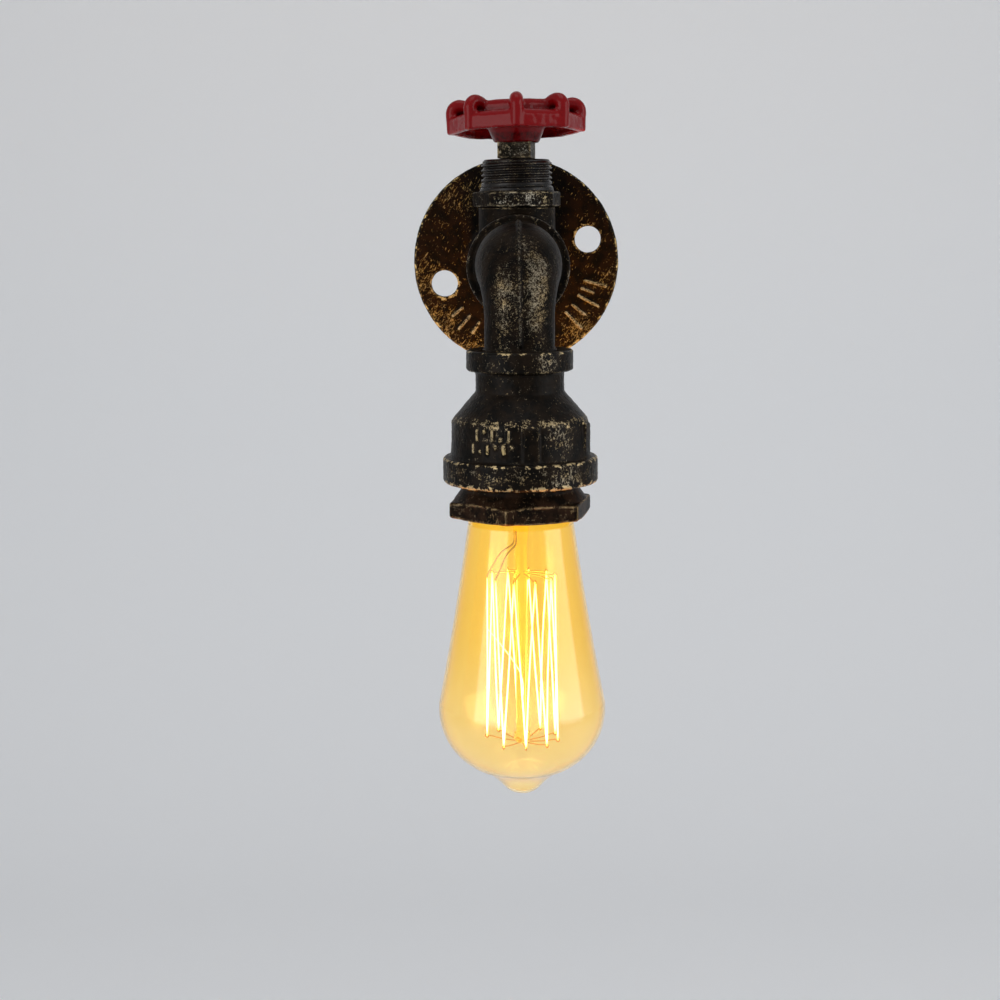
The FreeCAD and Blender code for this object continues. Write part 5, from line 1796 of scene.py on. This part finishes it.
@dataclass(frozen=True)
class SoftBox:
    """A soft lamp that faces the sconce: its place, its width and height, and its watts."""

    name: str
    place: Triple
    size: Pair
    power: float
    aim: Triple = (0.0, -0.07, -0.05)

    def build(self) -> None:
        """Adds the lamp."""
        data = bpy.data.lights.new(self.name, "AREA")
        data.shape = "RECTANGLE"
        data.size, data.size_y = self.size
        data.energy = self.power
        lamp = new_object(self.name, data)
        lamp.location = self.place
        lamp.rotation_mode = "QUATERNION"
        lamp.rotation_quaternion = (Vector(self.aim) - Vector(self.place)).to_track_quat("-Z", "Y")


@dataclass
class Studio:
    """Floor, backdrop, lamps, world and camera."""

    shop: Shop
    floor_level: float = -0.52
    back_distance: float = 1.1
    half_width: float = 12.0
    half_depth: float = 6.0
    back_rise: float = 2.4
    cove_r: float = 0.5
    cove_steps: int = 16
    paper: Colour = rgb(0.78, 0.79, 0.80)
    paper_by_lamps: Colour = rgb(0.46, 0.47, 0.48)
    lamp_side: Pair = (-0.30, -0.85)
    near_glow: Colour = rgb(0.12, 0.12, 0.12)
    far_glow: Colour = rgb(0.37, 0.375, 0.38)
    far_reach: Pair = (1.5, 4.5)
    far_front: Pair = (-0.7, -2.6)
    boxes: tuple[SoftBox, ...] = (
        SoftBox("left_box", place=(-0.85, -0.85, 0.15), size=(0.85, 1.1), power=6.6),
        SoftBox("right_box", place=(1.05, -0.45, 0.15), size=(0.85, 1.1), power=6.2),
        SoftBox("top", place=(0.0, -0.2, 1.2), size=(0.8, 0.8), power=3.0))
    bulb_light_size: float = 52.0 * MM
    bulb_light_power: float = 1.5
    bulb_light_colour: Triple = (1.0, 0.76, 0.35)
    bulb_light_z: float = -150.0 * MM
    world_light: Colour = rgb(0.27, 0.28, 0.30)
    world_seen: Colour = rgb(0.55, 0.56, 0.57)
    camera_place: Triple = (-7.3 * MM, -712.0 * MM, 20.5 * MM)
    camera_pitch: float = 9.408
    camera_roll: float = 0.5
    lens: float = 63.07
    sensor: float = 36.0
    clip_start: float = 0.01

    def paper_finish(self) -> bpy.types.Material:
        """Pale paper, darker towards the lamps so that it doesn't burn out, and even in the distance.

        Returns:
            The material.
        """
        coat = Coat("pale_paper")
        across = coat.split_place().outputs["Y"]
        colour = coat.mix(coat.span(across, *self.lamp_side), self.paper, self.paper_by_lamps)
        farness = coat.most(coat.span(coat.measure(Measure.LENGTH, coat.place()), *self.far_reach),
                            coat.span(across, *self.far_front))
        glow = coat.mix(farness, self.near_glow, self.far_glow)
        coat.fill(coat.shader, {
            "Roughness": 0.9,
            "Specular IOR Level": 0.2,
            "Base Color": colour,
            "Emission Color": coat.mix(seen_rays(coat), rgb(0.0, 0.0, 0.0), glow),
            "Emission Strength": 1.0})
        return coat.material

    def stage(self) -> None:
        """Makes the pale floor, which curves up into the backdrop."""
        floor = self.shop.start(bpy.ops.mesh.primitive_plane_add, size=2.0, location=(0, 0, 0))
        floor.name = "floor"
        floor.scale = (self.half_width, self.half_depth, 1.0)
        floor.location = (0.0, self.back_distance - self.half_depth, self.floor_level)
        self.shop.settle(floor)
        mesh = floor.data
        for corner in mesh.vertices:
            corner.select = corner.co.y > self.back_distance - 0.01
        for part in list(mesh.edges) + list(mesh.polygons):
            part.select = len(part.vertices) == 2 and all(mesh.vertices[i].select for i in part.vertices)
        bpy.ops.object.mode_set(mode="EDIT")
        bpy.ops.mesh.select_mode(type="EDGE")
        bpy.ops.mesh.extrude_region_move(TRANSFORM_OT_translate={"value": (0, 0, self.back_rise)})
        bpy.ops.object.mode_set(mode="OBJECT")
        self.shop.keep(floor, "BEVEL", width=self.cove_r, segments=self.cove_steps, limit_method="ANGLE")
        bpy.ops.object.shade_smooth()
        floor.data.materials.append(self.paper_finish())

    def bulb_light(self) -> None:
        """The warm light that the lit filament throws up at the castings."""
        data = bpy.data.lights.new("filament_light", "AREA")
        data.shape = "DISK"
        data.size = self.bulb_light_size
        data.energy = self.bulb_light_power
        data.color = self.bulb_light_colour
        lamp = new_object("filament_light", data)
        lamp.location = (0.0, LAMP_Y, self.bulb_light_z)
        lamp.rotation_euler = (math.radians(180.0), 0.0, 0.0)
        lamp.visible_camera = False
        lamp.visible_glossy = False
        lamp.visible_transmission = False

    def light(self) -> None:
        """Sets the world and the lamps."""
        world = bpy.data.worlds.new("studio_world")
        world.use_nodes = True
        world.node_tree.nodes.clear()
        bench = Bench(world.node_tree)
        back = bench.add("ShaderNodeBackground")
        colour = bench.mix(seen_rays(bench), self.world_light, self.world_seen)
        bench.fill(back, {"Color": colour, "Strength": 1.0})
        out = bench.add("ShaderNodeOutputWorld")
        bench.feed(out.inputs["Surface"], back.outputs[0])
        bpy.context.scene.world = world
        for box in self.boxes:
            box.build()
        self.bulb_light()

    def shoot(self) -> None:
        """Places the camera where the photograph was taken."""
        data = bpy.data.cameras.new("camera")
        data.lens = self.lens
        data.sensor_width = self.sensor
        data.clip_start = self.clip_start
        camera = new_object("camera", data)
        tilt = Matrix.Rotation(math.radians(90.0 - self.camera_pitch), 4, "X")
        roll = Matrix.Rotation(math.radians(-self.camera_roll), 4, "Z")
        camera.matrix_world = Matrix.Translation(Vector(self.camera_place)) @ tilt @ roll
        bpy.context.scene.camera = camera

    def build(self) -> None:
        """Builds the whole studio."""
        self.stage()
        self.light()
        self.shoot()
        LOG.info("studio ready")


def main() -> None:
    """Builds the looks piece by piece."""
    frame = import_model()
    paint = Paintbox()
    nodes = frame["nodes"]
    for name, finish in FRAME_FINISHES.items():
        paint.dress(nodes[name], finish)
    shop = Shop()
    PipeRun(nodes, shop, paint).build()
    Tap(nodes, shop, paint).build()
    Bulb(nodes, shop, paint).build()
    Studio(shop).build()
    bpy.context.scene.view_settings.view_transform = "Standard"


if __name__ == "__main__":
    main()
